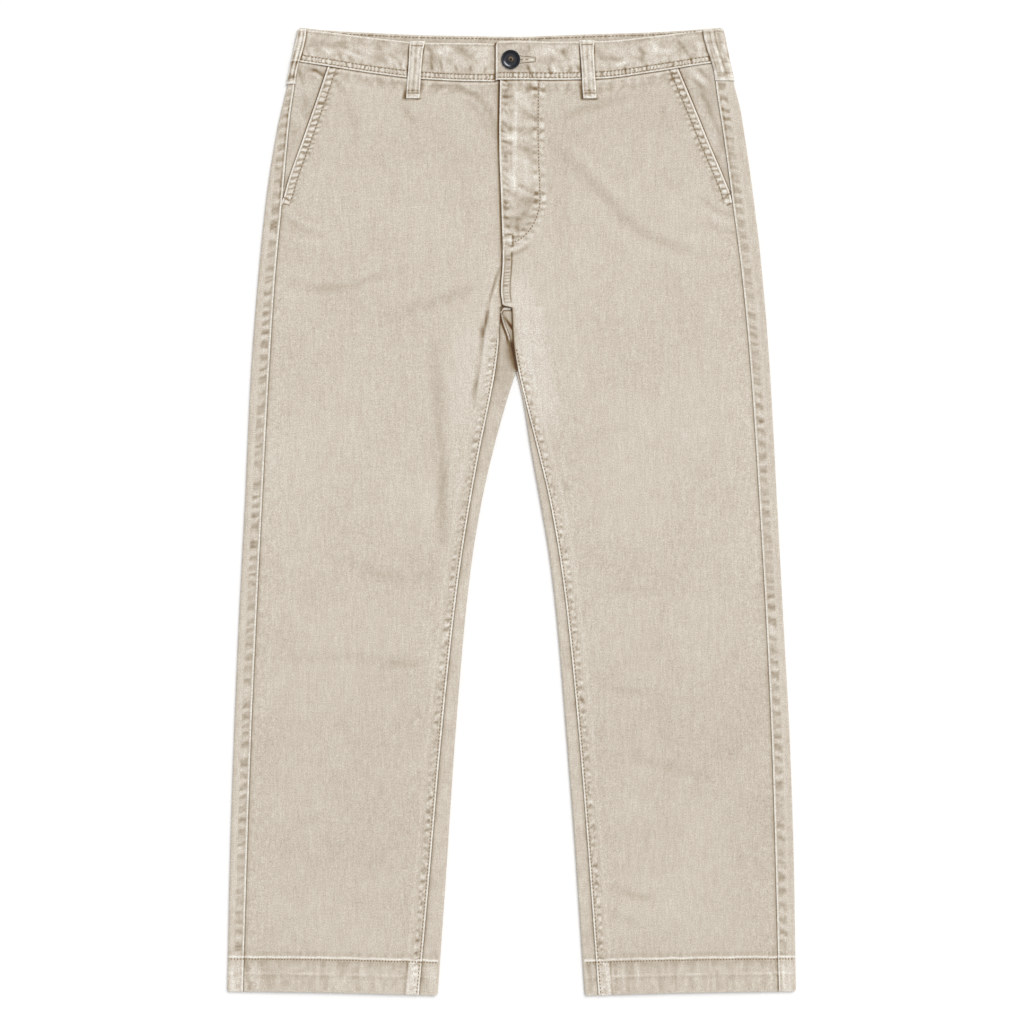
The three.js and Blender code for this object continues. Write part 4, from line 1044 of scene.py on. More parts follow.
def pocket_facing(side, material):
    """The facing that shows inside a slanted pocket, with its folds."""
    rows = stepped((FACING_BOTTOM, 470, 2.2), (470, WAIST_SEAM, 1.2))
    seam = outseam[side](rows) - side * SEAM_GAP
    slant = pocket_slant[side](rows)
    slant = pocket_slant[side](row_place(side, rows, slant, 0))
    near_slant = [0, 3, 5.5, 6.6, 7.4, 8, 8.7, 9.6, 11]
    x = columns(seam, slant - side * FACING_UNDERLAP, [0, 0.6, 1.4, 2.6], near_slant, FACING_COLUMNS)
    y = row_place(side, rows[:, None], x, 0)
    outside = side * (x - slant[:, None])
    from_slant, from_seam = np.maximum(outside, 0), np.abs(x - seam[:, None])
    z = cloth_height(side, x, y) - PANEL_WALL - LAYER_GAP + FACING_LIFT * ease(outside / FACING_LIFT_REACH)
    # A painted shadow along the pocket's slanted edge, deeper towards the top, a dark line along the outseam,
    # and a painted shadow under the waist seam
    deeper = 0.7 + 0.6 * ease((y - 380) / 80)
    wear = marks(from_slant, (0, 1.05, -1.9 * deeper), (0, 4, -0.12)) - 0.6 * line(from_seam, 0.8)
    wear = wear + marks(front_seam(x) - y, (0, 1.0, -0.9), (2.2, 1.1, 0.35))
    wear = wear + 0.2 * noise(x, y, 17, 90 + side)
    for path, reach, depth in FACING_FOLDS[side]:
        distance, along = near_path(x, y, path)
        fold = depth * line(distance, reach) * (middle_part(along, 0.3) + 0.2) * ease(outside / 3)
        z, wear = z + 0.5 * fold, wear + fold
    sheet = Sheet()
    sheet.join(sheet.add(x, y, z, (0.0, 1.0), FACING_WALL, wear, 0.2))
    width = float(np.abs(seam - slant).max() + FACING_UNDERLAP) * MM * 1.02
    cloth_piece(sheet, "pocket_facing", side, "facing_twill", material, (width, sheet.length()), "back")


def loop_shade(x, y):
    """How much painted shadow darkens the cloth beside the belt loops, from 0 up."""
    shade = 0.0
    above = y - FRONT_LOOP_BOTTOM
    for top_x, bottom_x in FRONT_LOOP_LINES.values():
        middle = mix(bottom_x, top_x, above / 60)
        beside = np.abs(x - middle) - FRONT_LOOP_WIDTH / 2
        stronger = np.where(x < middle, 1.25, 0.55 + 0.8 * ease((y - 492) / 6))
        shade = shade + marks(beside, (0.2, 1.2, stronger)) * strip(y, FRONT_LOOP_BOTTOM - 1, 505, 3)
        shade = shade + marks(above, (-0.6, 1.0, 0.8)) * ease((1 - beside) / 2)
    for side, (top_y, top_x, bottom_y, bottom_x) in SIDE_LOOP_LINES.items():
        edge = mix(bottom_x, top_x, ease((y - bottom_y) / (top_y - bottom_y)))
        shade = shade + marks(side * (edge - x), (0.4, 1.0, 0.9)) * ease((y - bottom_y + 2) / 3)
    return shade


def band_height(side, x, y):
    """Height of the waistband's upper face."""
    fold = outer_fold[side](y)
    plain = BAND_FOLD_HEIGHT + BAND_RISE * ease(np.abs(x - fold) / BAND_RISE_REACH)
    if side == RIGHT:
        return mix(plain, BAND_UNDERLAP_HEIGHT, ease((x + 36) / 18))
    return mix(BAND_OVERLAP_HEIGHT, plain, ease((x - 28) / 30))


# Folds across the waistband: path, reach across and height. The height also darkens the colour in the dips
# and lightens it on the rises, as painted shade and light.
BAND_FOLDS = [
    ([(-189.432, 505.44), (-172.152, 498.96), (-154.872, 492.48), (-150.552, 486.0)], 2.0, -0.2),
    ([(-185.112, 498.96), (-167.832, 492.48), (-157.032, 483.84)], 1.8, 0.4),
    ([(-211.032, 509.76), (-195.912, 503.28), (-180.792, 502.2)], 2.2, -0.14),
    ([(-137.592, 496.8), (-122.472, 488.16), (-115.992, 479.52)], 2.0, -0.3),
    ([(-93.312, 505.44), (-85.752, 494.64), (-87.912, 481.68)], 2.6, -0.35),
    ([(-81.432, 503.28), (-72.792, 492.48), (-72.792, 479.52)], 2.2, 0.35),
    ([(-60.912, 505.44), (-51.192, 496.8), (-44.712, 501.12)], 2.4, -0.3),
    ([(-38.232, 503.28), (-34.992, 494.64), (-40.392, 486.0)], 2.0, 0.3),
    ([(-86.832, 486.0), (-84.672, 475.2)], 1.3, -0.55), ([(-77.112, 488.16), (-73.872, 476.28)], 1.3, -0.5),
    ([(-60.912, 483.84), (-58.752, 475.2)], 1.3, -0.45), ([(-44.712, 483.84), (-43.632, 474.12)], 1.3, -0.4),
    ([(-27.432, 481.68), (-29.592, 473.04)], 1.3, -0.5),
    ([(15.768, 483.84), (21.168, 473.04), (23.328, 466.56)], 1.4, -0.6),
    ([(20.088, 486.0), (25.488, 474.12)], 1.2, 0.5), ([(38.448, 481.68), (43.848, 470.88)], 1.4, -0.6),
    ([(43.848, 483.84), (48.168, 471.96)], 1.2, 0.5), ([(0.648, 475.2), (2.808, 467.64)], 1.2, -0.4),
    ([(-10.152, 503.28), (-3.672, 505.44), (9.288, 507.6)], 2.0, -0.2),
    ([(17.928, 505.44), (20.088, 496.8)], 1.4, -0.3),
    ([(52.488, 503.28), (58.968, 490.32), (65.448, 481.68)], 2.4, -0.3),
    ([(39.528, 503.28), (48.168, 492.48)], 2.0, 0.3),
    ([(108.648, 481.68), (119.448, 483.84), (130.248, 488.16)], 1.6, 0.45),
    ([(102.168, 490.32), (115.128, 488.16), (125.928, 493.56)], 2.4, -0.3),
    ([(134.568, 503.28), (143.208, 494.64), (138.888, 486.0)], 2.4, -0.35),
    ([(149.688, 505.44), (160.488, 496.8), (173.448, 498.96)], 2.4, 0.35),
    ([(177.768, 509.76), (186.408, 501.12), (192.888, 490.32)], 2.4, -0.35),
    ([(197.208, 511.92), (203.688, 501.12), (201.528, 490.32)], 2.2, 0.3),
    ([(121.608, 481.68), (123.768, 473.04)], 1.2, -0.5), ([(145.368, 486.0), (147.528, 475.2)], 1.3, -0.5),
    ([(169.128, 490.32), (172.368, 478.44)], 1.3, -0.45),
    ([(192.888, 492.48), (195.048, 481.68)], 1.3, -0.45),
]


# Inside the buttonhole: both ends of each mark, its wear and how far it reaches
BUTTONHOLE_WEAR = [
    ((9.5, 488.3), (23.5, 488.3), 0.8, 1.9),
    ((9.6, 487.9), (12.8, 487.9), -2.6, 0.75),
    ((15.0, 488.2), (18.2, 488.4), -1.7, 0.6),
]


def band_detail(side, x, y, above, below, front):
    """Relief and colour value of the waistband's upper face: its stitched channel, gathers, folds and end,
    with painted shade and light on its gathers, mottling and folds.
    """
    gathers = puckers(x, 4.3, 50 + side, above)
    slow = puckers(x + 0.35 * above, 9.5, 53 + side, above)
    channel = strip(above, CHANNEL_STITCH_LOW, CHANNEL_STITCH_HIGH, 0.8)
    over = strip(above, 7.6, 15, 4) * np.clip(0.45 + 0.7 * noise(x, 0 * x, 34, 54 + side), 0.1, 1.2)
    mottle = noise(x, y * 1.6, 14, 55) + 0.7 * noise(x + y, y - 0.4 * x, 7.5, 56)
    relief = 0.14 * gathers * channel + 0.22 * slow * over + 0.14 * mottle * strip(above, 9, 36, 5)
    relief = relief + marks(above, (CHANNEL_STITCH_LOW, 0.8, -0.22), (CHANNEL_STITCH_HIGH, 0.8, -0.22))
    relief = relief + rounded_edge(below, 1.3, 0.8) + rounded_edge(above, 0.8, 0.4)
    wear = marks(above, (CHANNEL_STITCH_LOW, 0.75, -0.55), (CHANNEL_STITCH_HIGH, 0.75, -0.55))
    wear = wear + marks(above, (0.8, 0.85, 0.95))
    wear = wear + (0.8 * gathers + 0.05) * channel + (0.42 * slow - 0.06) * over
    wear = wear + (0.04 + 0.28 * mottle) * strip(above, 8, 37, 3)
    # A pale worn line along the top edge, a painted shadow beside the belt loops, and the folds' painted
    # shade and light
    wear = wear + marks(below, (0.8, 0.9, 0.75), (2.4, 1.1, -0.3)) - 1.5 * front * loop_shade(x, y)
    for path, reach, height in BAND_FOLDS:
        distance, along = near_path(x, y, path)
        fold = height * front * line(distance, reach) * (middle_part(along, 0.3) + 0.15)
        relief, wear = relief + 0.3 * fold, wear + 1.25 * fold
    if side == RIGHT:
        # A painted shadow that the overlapping left end casts on the right half
        return relief, wear - front * marks(BAND_OVERLAP_END - x, (0, 1.3, 1.9), (0, 5, 0.3))
    for start, stop, strength, reach in BUTTONHOLE_WEAR:
        distance, _ = near_path(x, y, [start, stop])
        wear = wear + front * strength * line(distance, reach)
    from_end = np.abs(x - BAND_OVERLAP_END)
    relief = relief + front * rounded_edge(from_end, 1.2, 0.8)
    return relief, wear + front * marks(from_end, (0.8, 1.0, 1.1), (2.6, 1.0, -0.35))


def waistband(side, material):
    """Half the waistband, from its end at the centre front round the side fold to the centre back."""
    end = BAND_UNDERLAP_END if side == RIGHT else BAND_OVERLAP_END
    centre_back_end = CENTRE_BACK_WAIST_X + side * SEAM_GAP / 2
    level = BAND_LEVELS[:, None]
    row = mix(WAIST_SEAM, float(front_top(outer_fold[side](WAIST_SEAM))), level)
    fold = outer_fold[side](row)
    top = fold - side * BAND_FOLD_HEIGHT / 2
    near_end = [0, 0.6, 1.2, 2, 3, 4]
    front_x = columns(np.full(len(row), end), top[:, 0], near_end, [0, 1], BAND_COLUMNS)
    back_x = columns(top[:, 0], np.full(len(row), centre_back_end), [0], [0, 1], BAND_COLUMNS // 2)
    x, z, nx, nz = side_by_side(
        (front_x, band_height(side, front_x, row), 0, 1),
        fold_arc(fold, side, BAND_FOLD_HEIGHT, True),
        (back_x, 0, 0, -1),
    )
    under = (1 - nz) / 2
    bottom = mix(front_seam(x), back_seam(x), under) + SEAM_GAP / 2
    upper = mix(front_top(x), back_top(x), under)
    if side == LEFT:
        upper = upper - BAND_CORNER * np.clip(1 - np.abs(x - end) / 4, 0, 1) ** 2
    y = mix(bottom, upper, level)
    above, below = y - bottom, upper - y
    front = np.where(nz > UPPER_FACE, 1, 0)
    relief, wear = band_detail(side, x, y, above, below, front)
    # The inside of the back band is painted a little darker as shade, with a pale worn top edge and its
    # stitch line
    inside = marks(below, (0.7, 0.9, 0.35), (BAND_TOP_STITCH_IN, 0.9, -0.3)) - 0.14
    inside = inside + 0.14 * noise(x, y, 9, 57) + 0.4 * puckers(x, 3.6, 58) * strip(below, 1.2, 4.6, 0.8)
    wear = mix(inside, wear, ease((nz + 1) / 0.9))
    sheet = Sheet()
    sheet.join(sheet.add(x, y, z + relief * front, (nx, nz), WAISTBAND_WALL, wear, 0.2 + 0.18 * front))
    width = float(sheet.area() / (BAND_DEPTH * MM)) * 1.01
    length = max(sheet.length(), sheet.area() / width * 1.05)
    cloth_piece(sheet, "waistband", side, "waistband_twill", material, (width, length), "back")


def loop_ground(side, x, y, reach):
    """What a belt loop lies on: the waistband, and the panel below the waist seam."""
    on_band = ease((y - front_seam(x) + reach) / reach)
    return mix(cloth_height(side, x, y), band_height(side, x, np.maximum(y, WAIST_SEAM)), on_band)


def loop_wear_and_shade(across, down, length, seed):
    """Colour value of a belt loop: bright worn folded edges, two lengthwise ridges and matted bar tacks, with
    painted shade inside the edges, in the dip between the ridges and above the lower tack.
    """
    wander = across + 0.03 * noise(down, 0 * down, 12, seed + 2)
    ridges = line(np.abs(wander) - 0.19, 0.07)
    wear = 0.05 + marks(0.5 - np.abs(across), (0.05, 0.05, 1.1), (0.14, 0.045, -0.35))
    wear = wear + 0.5 * ridges - 0.3 * line(wander, 0.06) + 0.25 * noise(across * 20, down, 6, seed)
    tack = ease((8 - down) / 2) + ease((down - length + 5) / 2)
    wear = wear * (1 - 0.4 * tack) + tack * (0.1 + 0.5 * noise(across * 14, down * 2.4, 3, seed + 1))
    wear = wear + marks(down, (0.7, 0.9, 0.9), (8.2, 0.9, -0.9)) + marks(length - down, (0.6, 0.8, 0.8))
    return wear, 0.16 * ridges


def front_loop(side, material):
    """A front loop stands over the waistband and is tacked down at both ends."""
    top_x, bottom_x = FRONT_LOOP_LINES[side]
    top = float(front_top(top_x)) + 0.9
    level = np.linspace(0, 1, 74)[:, None]
    across = np.linspace(-0.5, 0.5, 25) + 0 * level
    y = mix(FRONT_LOOP_BOTTOM, top, level) + 0 * across
    near_top = line(level - 1.0, 0.12)
    flare = 1 + 0.02 * np.sin(level * 9) + 0.13 * near_top
    x = mix(bottom_x, top_x, level) + across * FRONT_LOOP_WIDTH * flare + 0.5 * near_top
    stand = FRONT_LOOP_STAND * np.sin(pi * ease(np.maximum(0, level - 0.1) / 0.9))
    wear, ridges = loop_wear_and_shade(across, y - FRONT_LOOP_BOTTOM, top - FRONT_LOOP_BOTTOM, 100 + side)
    z = loop_ground(side, x, y, 14) + LAYER_GAP + stand + LOOP_WALL + ridges
    z = z + rounded_edge((0.5 - np.abs(across)) * FRONT_LOOP_WIDTH, 1.1, 0.9)
    z = z + rounded_edge(y - FRONT_LOOP_BOTTOM, 0.9, 0.6)
    sheet = Sheet()
    sheet.join(sheet.add(x, y, z, (0.0, 1.0), LOOP_WALL, wear, 0.5))
    width = FRONT_LOOP_WIDTH * MM * 1.05
    flat = (width, sheet.area() / width * 1.02)
    cloth_piece(sheet, "belt_loop_front", side, "waistband_twill", material, flat, "waistband", "front")


def side_loop(side, material):
    """A side loop lies over the outseam strip and the band, and turns down round the side fold."""
    top_y, top_x, bottom_y, bottom_x = SIDE_LOOP_LINES[side]
    inner = SIDE_LOOP_FOLD + LAYER_GAP
    level = np.linspace(0, 1, 60)[:, None]
    row = mix(bottom_y, top_y, level)
    edge = mix(bottom_x, top_x, ease(level))
    centre = outer_fold[side](row) - side * SIDE_LOOP_FOLD

    def ground(x):
        return np.maximum(2 * SIDE_LOOP_FOLD, loop_ground(side, x, row, 12) + 0.5) + LAYER_GAP

    flat_x = mix(edge, centre, np.linspace(0, 1, 12))
    angle = np.radians(np.linspace(80, SIDE_LOOP_END_ANGLE, 14))
    normal_x, normal_z = side * np.cos(angle), np.sin(angle)
    upper = np.where(angle > 0, ground(centre) - SIDE_LOOP_FOLD, inner)
    arc_x = centre + normal_x * (inner + LOOP_WALL)
    arc_z = SIDE_LOOP_FOLD + np.sin(angle) * upper + normal_z * LOOP_WALL
    x, z, nx, nz = side_by_side(
        (flat_x, ground(flat_x) + LOOP_WALL, 0, 1),
        (arc_x, arc_z, normal_x, normal_z),
    )
    steps = np.hypot(np.diff(x, axis=1), np.diff(z, axis=1))
    run = np.cumsum(np.concatenate([np.zeros_like(edge), steps], axis=1), axis=1)
    y = row + 0 * run
    above = y - bottom_y
    wear, ridges = loop_wear_and_shade(run / run[:, -1:] - 0.5, above, top_y - bottom_y, 110 + side)
    # The lines across the loop, over the waist seam and higher on the band, are painted light and shade of
    # the steps under it
    crossing = marks(y, (487.6, 0.9, 0.8), (485.9, 0.8, -0.7), (506.5, 0.9, -0.5))
    ribs = marks(run, (4.4, 0.9, 0.55), (9.4, 0.9, 0.55), (14.0, 0.9, 0.55))
    dips = marks(run, (2.4, 0.8, -0.4), (6.9, 1.0, -0.4), (11.7, 1.0, -0.4))
    wear = wear - 0.2 + 0.5 * noise(run, y, 5, 112 + side) + crossing * (1 if side == RIGHT else 0.35)
    wear = wear + (ribs + dips) * strip(y, bottom_y + 9, top_y - 2, 3)
    wear = wear + marks(above, (8.2, 1.2, 0.5), (6.3, 0.8, -0.35), (1.0, 1.2, 0.4))
    z = z + (ridges + rounded_edge(run, 1.1, 0.9) + rounded_edge(above, 0.9, 0.6)) * np.clip(nz, 0, 1)
    sheet = Sheet()
    sheet.join(sheet.add(x, y, z, (nx, nz), LOOP_WALL, wear, 0.5))
    width = float(run[:, -1].max()) * MM * 1.02
    flat = (width, SIDE_LOOP_LENGTH * MM)
    cloth_piece(sheet, "belt_loop_side", side, "waistband_twill", material, flat, "waistband", "back")


def to_linear(colour):
    """A colour from its 0 to 255 values on screen to Blender's linear ones."""
    parts = [value / 255 for value in colour]
    return tuple(p / 12.92 if p <= 0.04045 else ((p + 0.055) / 1.055) ** 2.4 for p in parts)


class ClothSettings(bpy.types.PropertyGroup):
    """Colours and weave of the twill"""
    cloth: bpy.props.FloatVectorProperty(
        name="Cloth", description="Colour of the washed twill",
        subtype="COLOR", size=3, default=to_linear((207, 197, 183)), min=0, max=1,
    )
    # The ridge colour serves both worn, pale edges and painted light on raised cloth
    ridge: bpy.props.FloatVectorProperty(
        name="Worn ridges", description="Colour where edges and ridges have faded",
        subtype="COLOR", size=3, default=to_linear((240, 235, 226)), min=0, max=1,
    )
    # The valley colour serves both dye left in dips and seams and painted shade
    valley: bpy.props.FloatVectorProperty(
        name="Valleys", description="Colour where dye stays in dips and seams",
        subtype="COLOR", size=3, default=to_linear((134, 114, 86)), min=0, max=1,
    )
    speckle: bpy.props.FloatProperty(
        name="Speckle", description="Size of the fine speckle of the yarns",
        default=0.00122, unit="LENGTH", min=0.0005,
    )
    twill_pitch: bpy.props.FloatProperty(
        name="Twill pitch", description="Distance between the twill's diagonal lines",
        default=0.0011, unit="LENGTH", min=0.0003,
    )


class SewingSettings(bpy.types.PropertyGroup):
    """The thread and its stitches"""
    thread: bpy.props.FloatVectorProperty(
        name="Thread", description="Colour of the sewing thread",
        subtype="COLOR", size=3, default=to_linear((142, 119, 87)), min=0, max=1,
    )
    pitch: bpy.props.FloatProperty(
        name="Pitch", description="Distance from one stitch to the next",
        default=0.0040, unit="LENGTH", min=0.001,
    )
    length: bpy.props.FloatProperty(
        name="Length", description="Length of thread that shows in one stitch",
        default=0.0028, unit="LENGTH", min=0.0005,
    )
    width: bpy.props.FloatProperty(
        name="Width", description="Width of the thread",
        default=0.0013, unit="LENGTH", min=0.0001,
    )


class ButtonSettings(bpy.types.PropertyGroup):
    """Size and colour of the button"""
    diameter: bpy.props.FloatProperty(
        name="Diameter", description="Diameter of the button's head",
        default=0.0204, unit="LENGTH", min=0.008,
    )
    head: bpy.props.FloatProperty(
        name="Head", description="Thickness of the button's head",
        default=0.0023, unit="LENGTH", min=0.001,
    )
    metal: bpy.props.FloatVectorProperty(
        name="Metal", description="Colour of the dark metal",
        subtype="COLOR", size=3, default=to_linear((40, 42, 47)), min=0, max=1,
    )


class StageSettings(bpy.types.PropertyGroup):
    """The camera and the lights"""
    camera_height: bpy.props.FloatProperty(
        name="Camera height", description="Height of the camera above the surface",
        default=3.077, unit="LENGTH", min=0.5,
    )
    focal_length: bpy.props.FloatProperty(
        name="Focal length", description="Focal length on a 36 mm sensor",
        default=100.0, unit="CAMERA", min=20,
    )
    key_strength: bpy.props.FloatProperty(
        name="Key light", description="Strength of the soft light from the upper right",
        default=1.72, min=0,
    )
    key_softness: bpy.props.FloatProperty(
        name="Key softness", description="How wide the soft light spreads",
        default=radians(36), subtype="ANGLE",
    )
    fill_strength: bpy.props.FloatProperty(
        name="Fill", description="Strength of the even light from all round",
        default=0.6, min=0,
    )


def new_group(name, inputs, outputs):
    """An empty shader node group with named inputs and outputs."""
    group = bpy.data.node_groups.new(name, "ShaderNodeTree")
    for label, kind in inputs:
        group.interface.new_socket(label, in_out="INPUT", socket_type=kind)
    for label, kind in outputs:
        group.interface.new_socket(label, in_out="OUTPUT", socket_type=kind)
    return group, group.nodes.new("NodeGroupInput"), group.nodes.new("NodeGroupOutput")


def node(tree, kind, settings=None, **inputs):
    """Adds a node, sets its settings and values, and links the inputs given as sockets."""
    made = tree.nodes.new(kind)
    for key, value in (settings or {}).items():
        setattr(made, key, value)
    for key, value in inputs.items():
        socket = made.inputs[int(key[1:])] if key[0] == "i" and key[1:].isdigit() else made.inputs[key]
        if isinstance(value, bpy.types.NodeSocket):
            tree.links.new(value, socket)
        else:
            socket.default_value = value
    return made


def calc(tree, operation, *values):
    """A Math node's result."""
    numbered = {f"i{i}": value for i, value in enumerate(values)}
    return node(tree, "ShaderNodeMath", {"operation": operation}, **numbered).outputs[0]


def vector_calc(tree, operation, output, *values, **named):
    """A Vector Math node's result, from its output Vector or Value."""
    numbered = {f"i{i}": value for i, value in enumerate(values)}
    return node(tree, "ShaderNodeVectorMath", {"operation": operation}, **numbered, **named).outputs[output]


def blend(tree, factor, under, over):
    """One colour over another, where the factor is 1."""
    made = node(tree, "ShaderNodeMix", {"data_type": "RGBA"}, i0=factor, i6=under, i7=over)
    return made.outputs[2]


def rise_in(tree, value, start, end, top=1.0):
    """0 at start and top at end, held level beyond them."""
    settings = {"clamp": True}
    return node(tree, "ShaderNodeMapRange", settings, i0=value, i1=start, i2=end, i3=0.0, i4=top).outputs[0]


def scaled_noise(tree, vector, stretch, size, detail, roughness=0.5, distortion=0.0):
    """Noise whose bumps are about size metres across, longer where stretch is under 1."""
    placed = node(tree, "ShaderNodeMapping", {"vector_type": "POINT"}, Vector=vector, Scale=stretch)
    made = node(
        tree, "ShaderNodeTexNoise", {"noise_dimensions": "3D"},
        Vector=placed.outputs[0], Scale=1 / size, Detail=detail, Roughness=roughness, Distortion=distortion,
    )
    return made.outputs[0]


def weave_group(cloth):
    """Washed twill: speckled yarns, slubs, soft blotches and a fine diagonal, over colour that carries both
    worn fading and painted shade and light.
    """
    tree, inputs, outputs = new_group(
        "Washed twill",
        [("Vector", "NodeSocketVector"), ("Wear", "NodeSocketFloat"), ("Crinkle", "NodeSocketFloat"),
         ("Cloth", "NodeSocketColor"), ("Ridge", "NodeSocketColor"), ("Valley", "NodeSocketColor"),
         ("Speckle", "NodeSocketFloat")],
        [("Color", "NodeSocketColor"), ("Height", "NodeSocketFloat")],
    )
    given = inputs.outputs
    vector = given["Vector"]

    def centred(value):
        return calc(tree, "SUBTRACT", value, 0.5)

    # The yarns' tone: speckle, lengthwise and crosswise slubs, blotches, streaks and the diagonal
    speckle = scaled_noise(tree, vector, (1, 1, 1), cloth.speckle, 2.0, 0.6)
    slubs = scaled_noise(tree, vector, (1, 0.1, 1), 0.0013, 2.0)
    twill = node(
        tree, "ShaderNodeTexWave", {"wave_type": "BANDS", "bands_direction": "DIAGONAL"},
        Vector=vector, Scale=2 * pi / (10 * cloth.twill_pitch), Distortion=1.2, Detail=1.0,
    ).outputs["Fac"]
    tone = calc(tree, "MULTIPLY_ADD", centred(speckle), given["Speckle"], 1.0)
    for texture, strength in (
        (slubs, 0.36),
        (scaled_noise(tree, vector, (0.14, 1, 1), 0.0013, 1.0), 0.13),
        (scaled_noise(tree, vector, (1, 0.7, 1), 0.036, 3.0, 0.55), 0.12),
        (scaled_noise(tree, vector, (1, 1, 1), 0.16, 1.0), 0.06),
        (scaled_noise(tree, vector, (1, 0.1, 1), 0.0036, 1.0), 0.09),
        (twill, 0.07),
    ):
        tone = calc(tree, "MULTIPLY_ADD", centred(texture), strength, tone)

    # Small folds where the cloth is crinkled, painted into the colour as shade and light, and the worn fading
    # and painted shade broken up by the speckle
    swirls = scaled_noise(tree, vector, (1, 1, 1), 0.013, 1.0, 0.5, 1.9)
    nubs = scaled_noise(tree, vector, (1, 1, 1), 0.0042, 1.0)
    folds = calc(tree, "MULTIPLY_ADD", centred(nubs), 0.5, centred(swirls))
    folds = calc(tree, "MULTIPLY", folds, given["Crinkle"])
    broken = calc(tree, "MULTIPLY_ADD", centred(speckle), 1.1, 1.0)
    wear = calc(tree, "MULTIPLY_ADD", folds, 1.9, calc(tree, "MULTIPLY", given["Wear"], broken))
    # High values turn to the ridge colour, for worn fading and painted light; low values turn to the valley
    # colour, for dye in the dips and painted shade; the deepest painted shade also darkens the tone
    darkening = calc(tree, "MULTIPLY", wear, -1.0)
    faded_and_lit = node(tree, "ShaderNodeClamp", Value=wear).outputs[0]
    dyed_and_shaded = node(tree, "ShaderNodeClamp", Value=darkening).outputs[0]
    deep = node(tree, "ShaderNodeClamp", Value=calc(tree, "SUBTRACT", darkening, 1.0)).outputs[0]
    tone = calc(tree, "MULTIPLY", tone, calc(tree, "MULTIPLY_ADD", deep, -0.7, 1.0))
    colour = blend(tree, dyed_and_shaded, blend(tree, faded_and_lit, given["Cloth"], given["Ridge"]), given["Valley"])

    # Darker tones are a little warmer than light ones
    swing = vector_calc(tree, "SCALE", 0, (0.82, 1.05, 1.14), Scale=calc(tree, "SUBTRACT", tone, 1.0))
    swing = vector_calc(tree, "ADD", 0, swing, (1, 1, 1))
    tree.links.new(vector_calc(tree, "MULTIPLY", 0, colour, swing), outputs.inputs["Color"])
    height = calc(tree, "MULTIPLY_ADD", speckle, 0.6, calc(tree, "MULTIPLY", slubs, 0.4))
    height = calc(tree, "MULTIPLY_ADD", folds, 2.2, height)
    tree.links.new(calc(tree, "MULTIPLY_ADD", twill, 0.35, height), outputs.inputs["Height"])
    return tree


def principled(name, roughness, metallic=0.0, sheen=0.0):
    """A material, its node tree, its shader and the places of its points."""
    material = bpy.data.materials.new(name)
    material.use_nodes = True
    tree = material.node_tree
    shader = tree.nodes["Principled BSDF"]
    shader.inputs["Roughness"].default_value = roughness
    shader.inputs["Metallic"].default_value = metallic
    shader.inputs["Sheen Weight"].default_value = sheen
    return material, tree, shader, tree.nodes.new("ShaderNodeTexCoord").outputs["Object"]


def link_surface(tree, shader, colour, height, strength, distance):
    """Links a material's colour, and a bump made from its height."""
    tree.links.new(colour, shader.inputs["Base Color"])
    bump = node(tree, "ShaderNodeBump", Strength=strength, Distance=distance, Height=height)
    tree.links.new(bump.outputs[0], shader.inputs["Normal"])


def twill_material(name, weave, cloth, tint, speckle):
    """Washed twill in one piece's own tint of the cloth colour."""
    material, tree, shader, place = principled(name, 0.92, sheen=0.08)
    shader.inputs["Specular IOR Level"].default_value = 0.2
    # This attribute holds the worn fading of the cloth together with the painted shade and light of its
    # creases, seams, folds and loops
    worn = node(tree, "ShaderNodeAttribute", {"attribute_name": "wear"}).outputs["Fac"]
    crinkled = node(tree, "ShaderNodeAttribute", {"attribute_name": "crinkle"}).outputs["Fac"]
    group = node(
        tree, "ShaderNodeGroup", {"node_tree": weave},
        Vector=place, Wear=worn, Crinkle=crinkled, Speckle=speckle,
        Cloth=(*[part * share for part, share in zip(cloth.cloth, tint)], 1),
        Ridge=(*cloth.ridge, 1), Valley=(*cloth.valley, 1),
    )
    link_surface(tree, shader, group.outputs["Color"], group.outputs["Height"], 0.45, 0.00035)
    return material


def thread_material(name, colour):
    """Twisted sewing thread."""
    material, tree, shader, place = principled(name, 0.75, sheen=0.1)
    fibres = scaled_noise(tree, place, (1, 1, 1), 0.0006, 2.0)
    tone = calc(tree, "MULTIPLY_ADD", fibres, 0.5, 0.75)
    tinted = vector_calc(tree, "SCALE", 0, tuple(colour), Scale=tone)
    link_surface(tree, shader, tinted, fibres, 0.4, 0.0001)
    return material


def twill_materials():
    """The twill finishes, made once and shared by the pieces cut from the same cloth."""
    cloth = bpy.context.scene.trouser_cloth
    if "washed_panel_cloth" not in bpy.data.materials:
        weave = weave_group(cloth)
        twill_material("washed_panel_cloth", weave, cloth, (0.985, 0.985, 0.98), 1.08)
        twill_material("washed_waistband_cloth", weave, cloth, (0.98, 0.98, 0.975), 1.08)
        # The facing's darker tint is painted shade, as it lies inside the pocket
        twill_material("washed_facing_cloth", weave, cloth, (0.945, 0.945, 0.94), 1.05)
    return {key: bpy.data.materials[f"washed_{key}_cloth"] for key in ("panel", "waistband", "facing")}


def stitch_form():
    """One stitch, modelled once: an egg-shaped length of thread along X."""
    bpy.ops.object.select_all(action="DESELECT")
    bpy.ops.mesh.primitive_ico_sphere_add(subdivisions=1, radius=1.0, location=(0, 0, 0))
    form = bpy.context.object
    points = np.array([vertex.co[:] for vertex in form.data.vertices])
    faces = np.array([list(face.vertices) for face in form.data.polygons])
    bpy.data.objects.remove(form)
    return points, faces


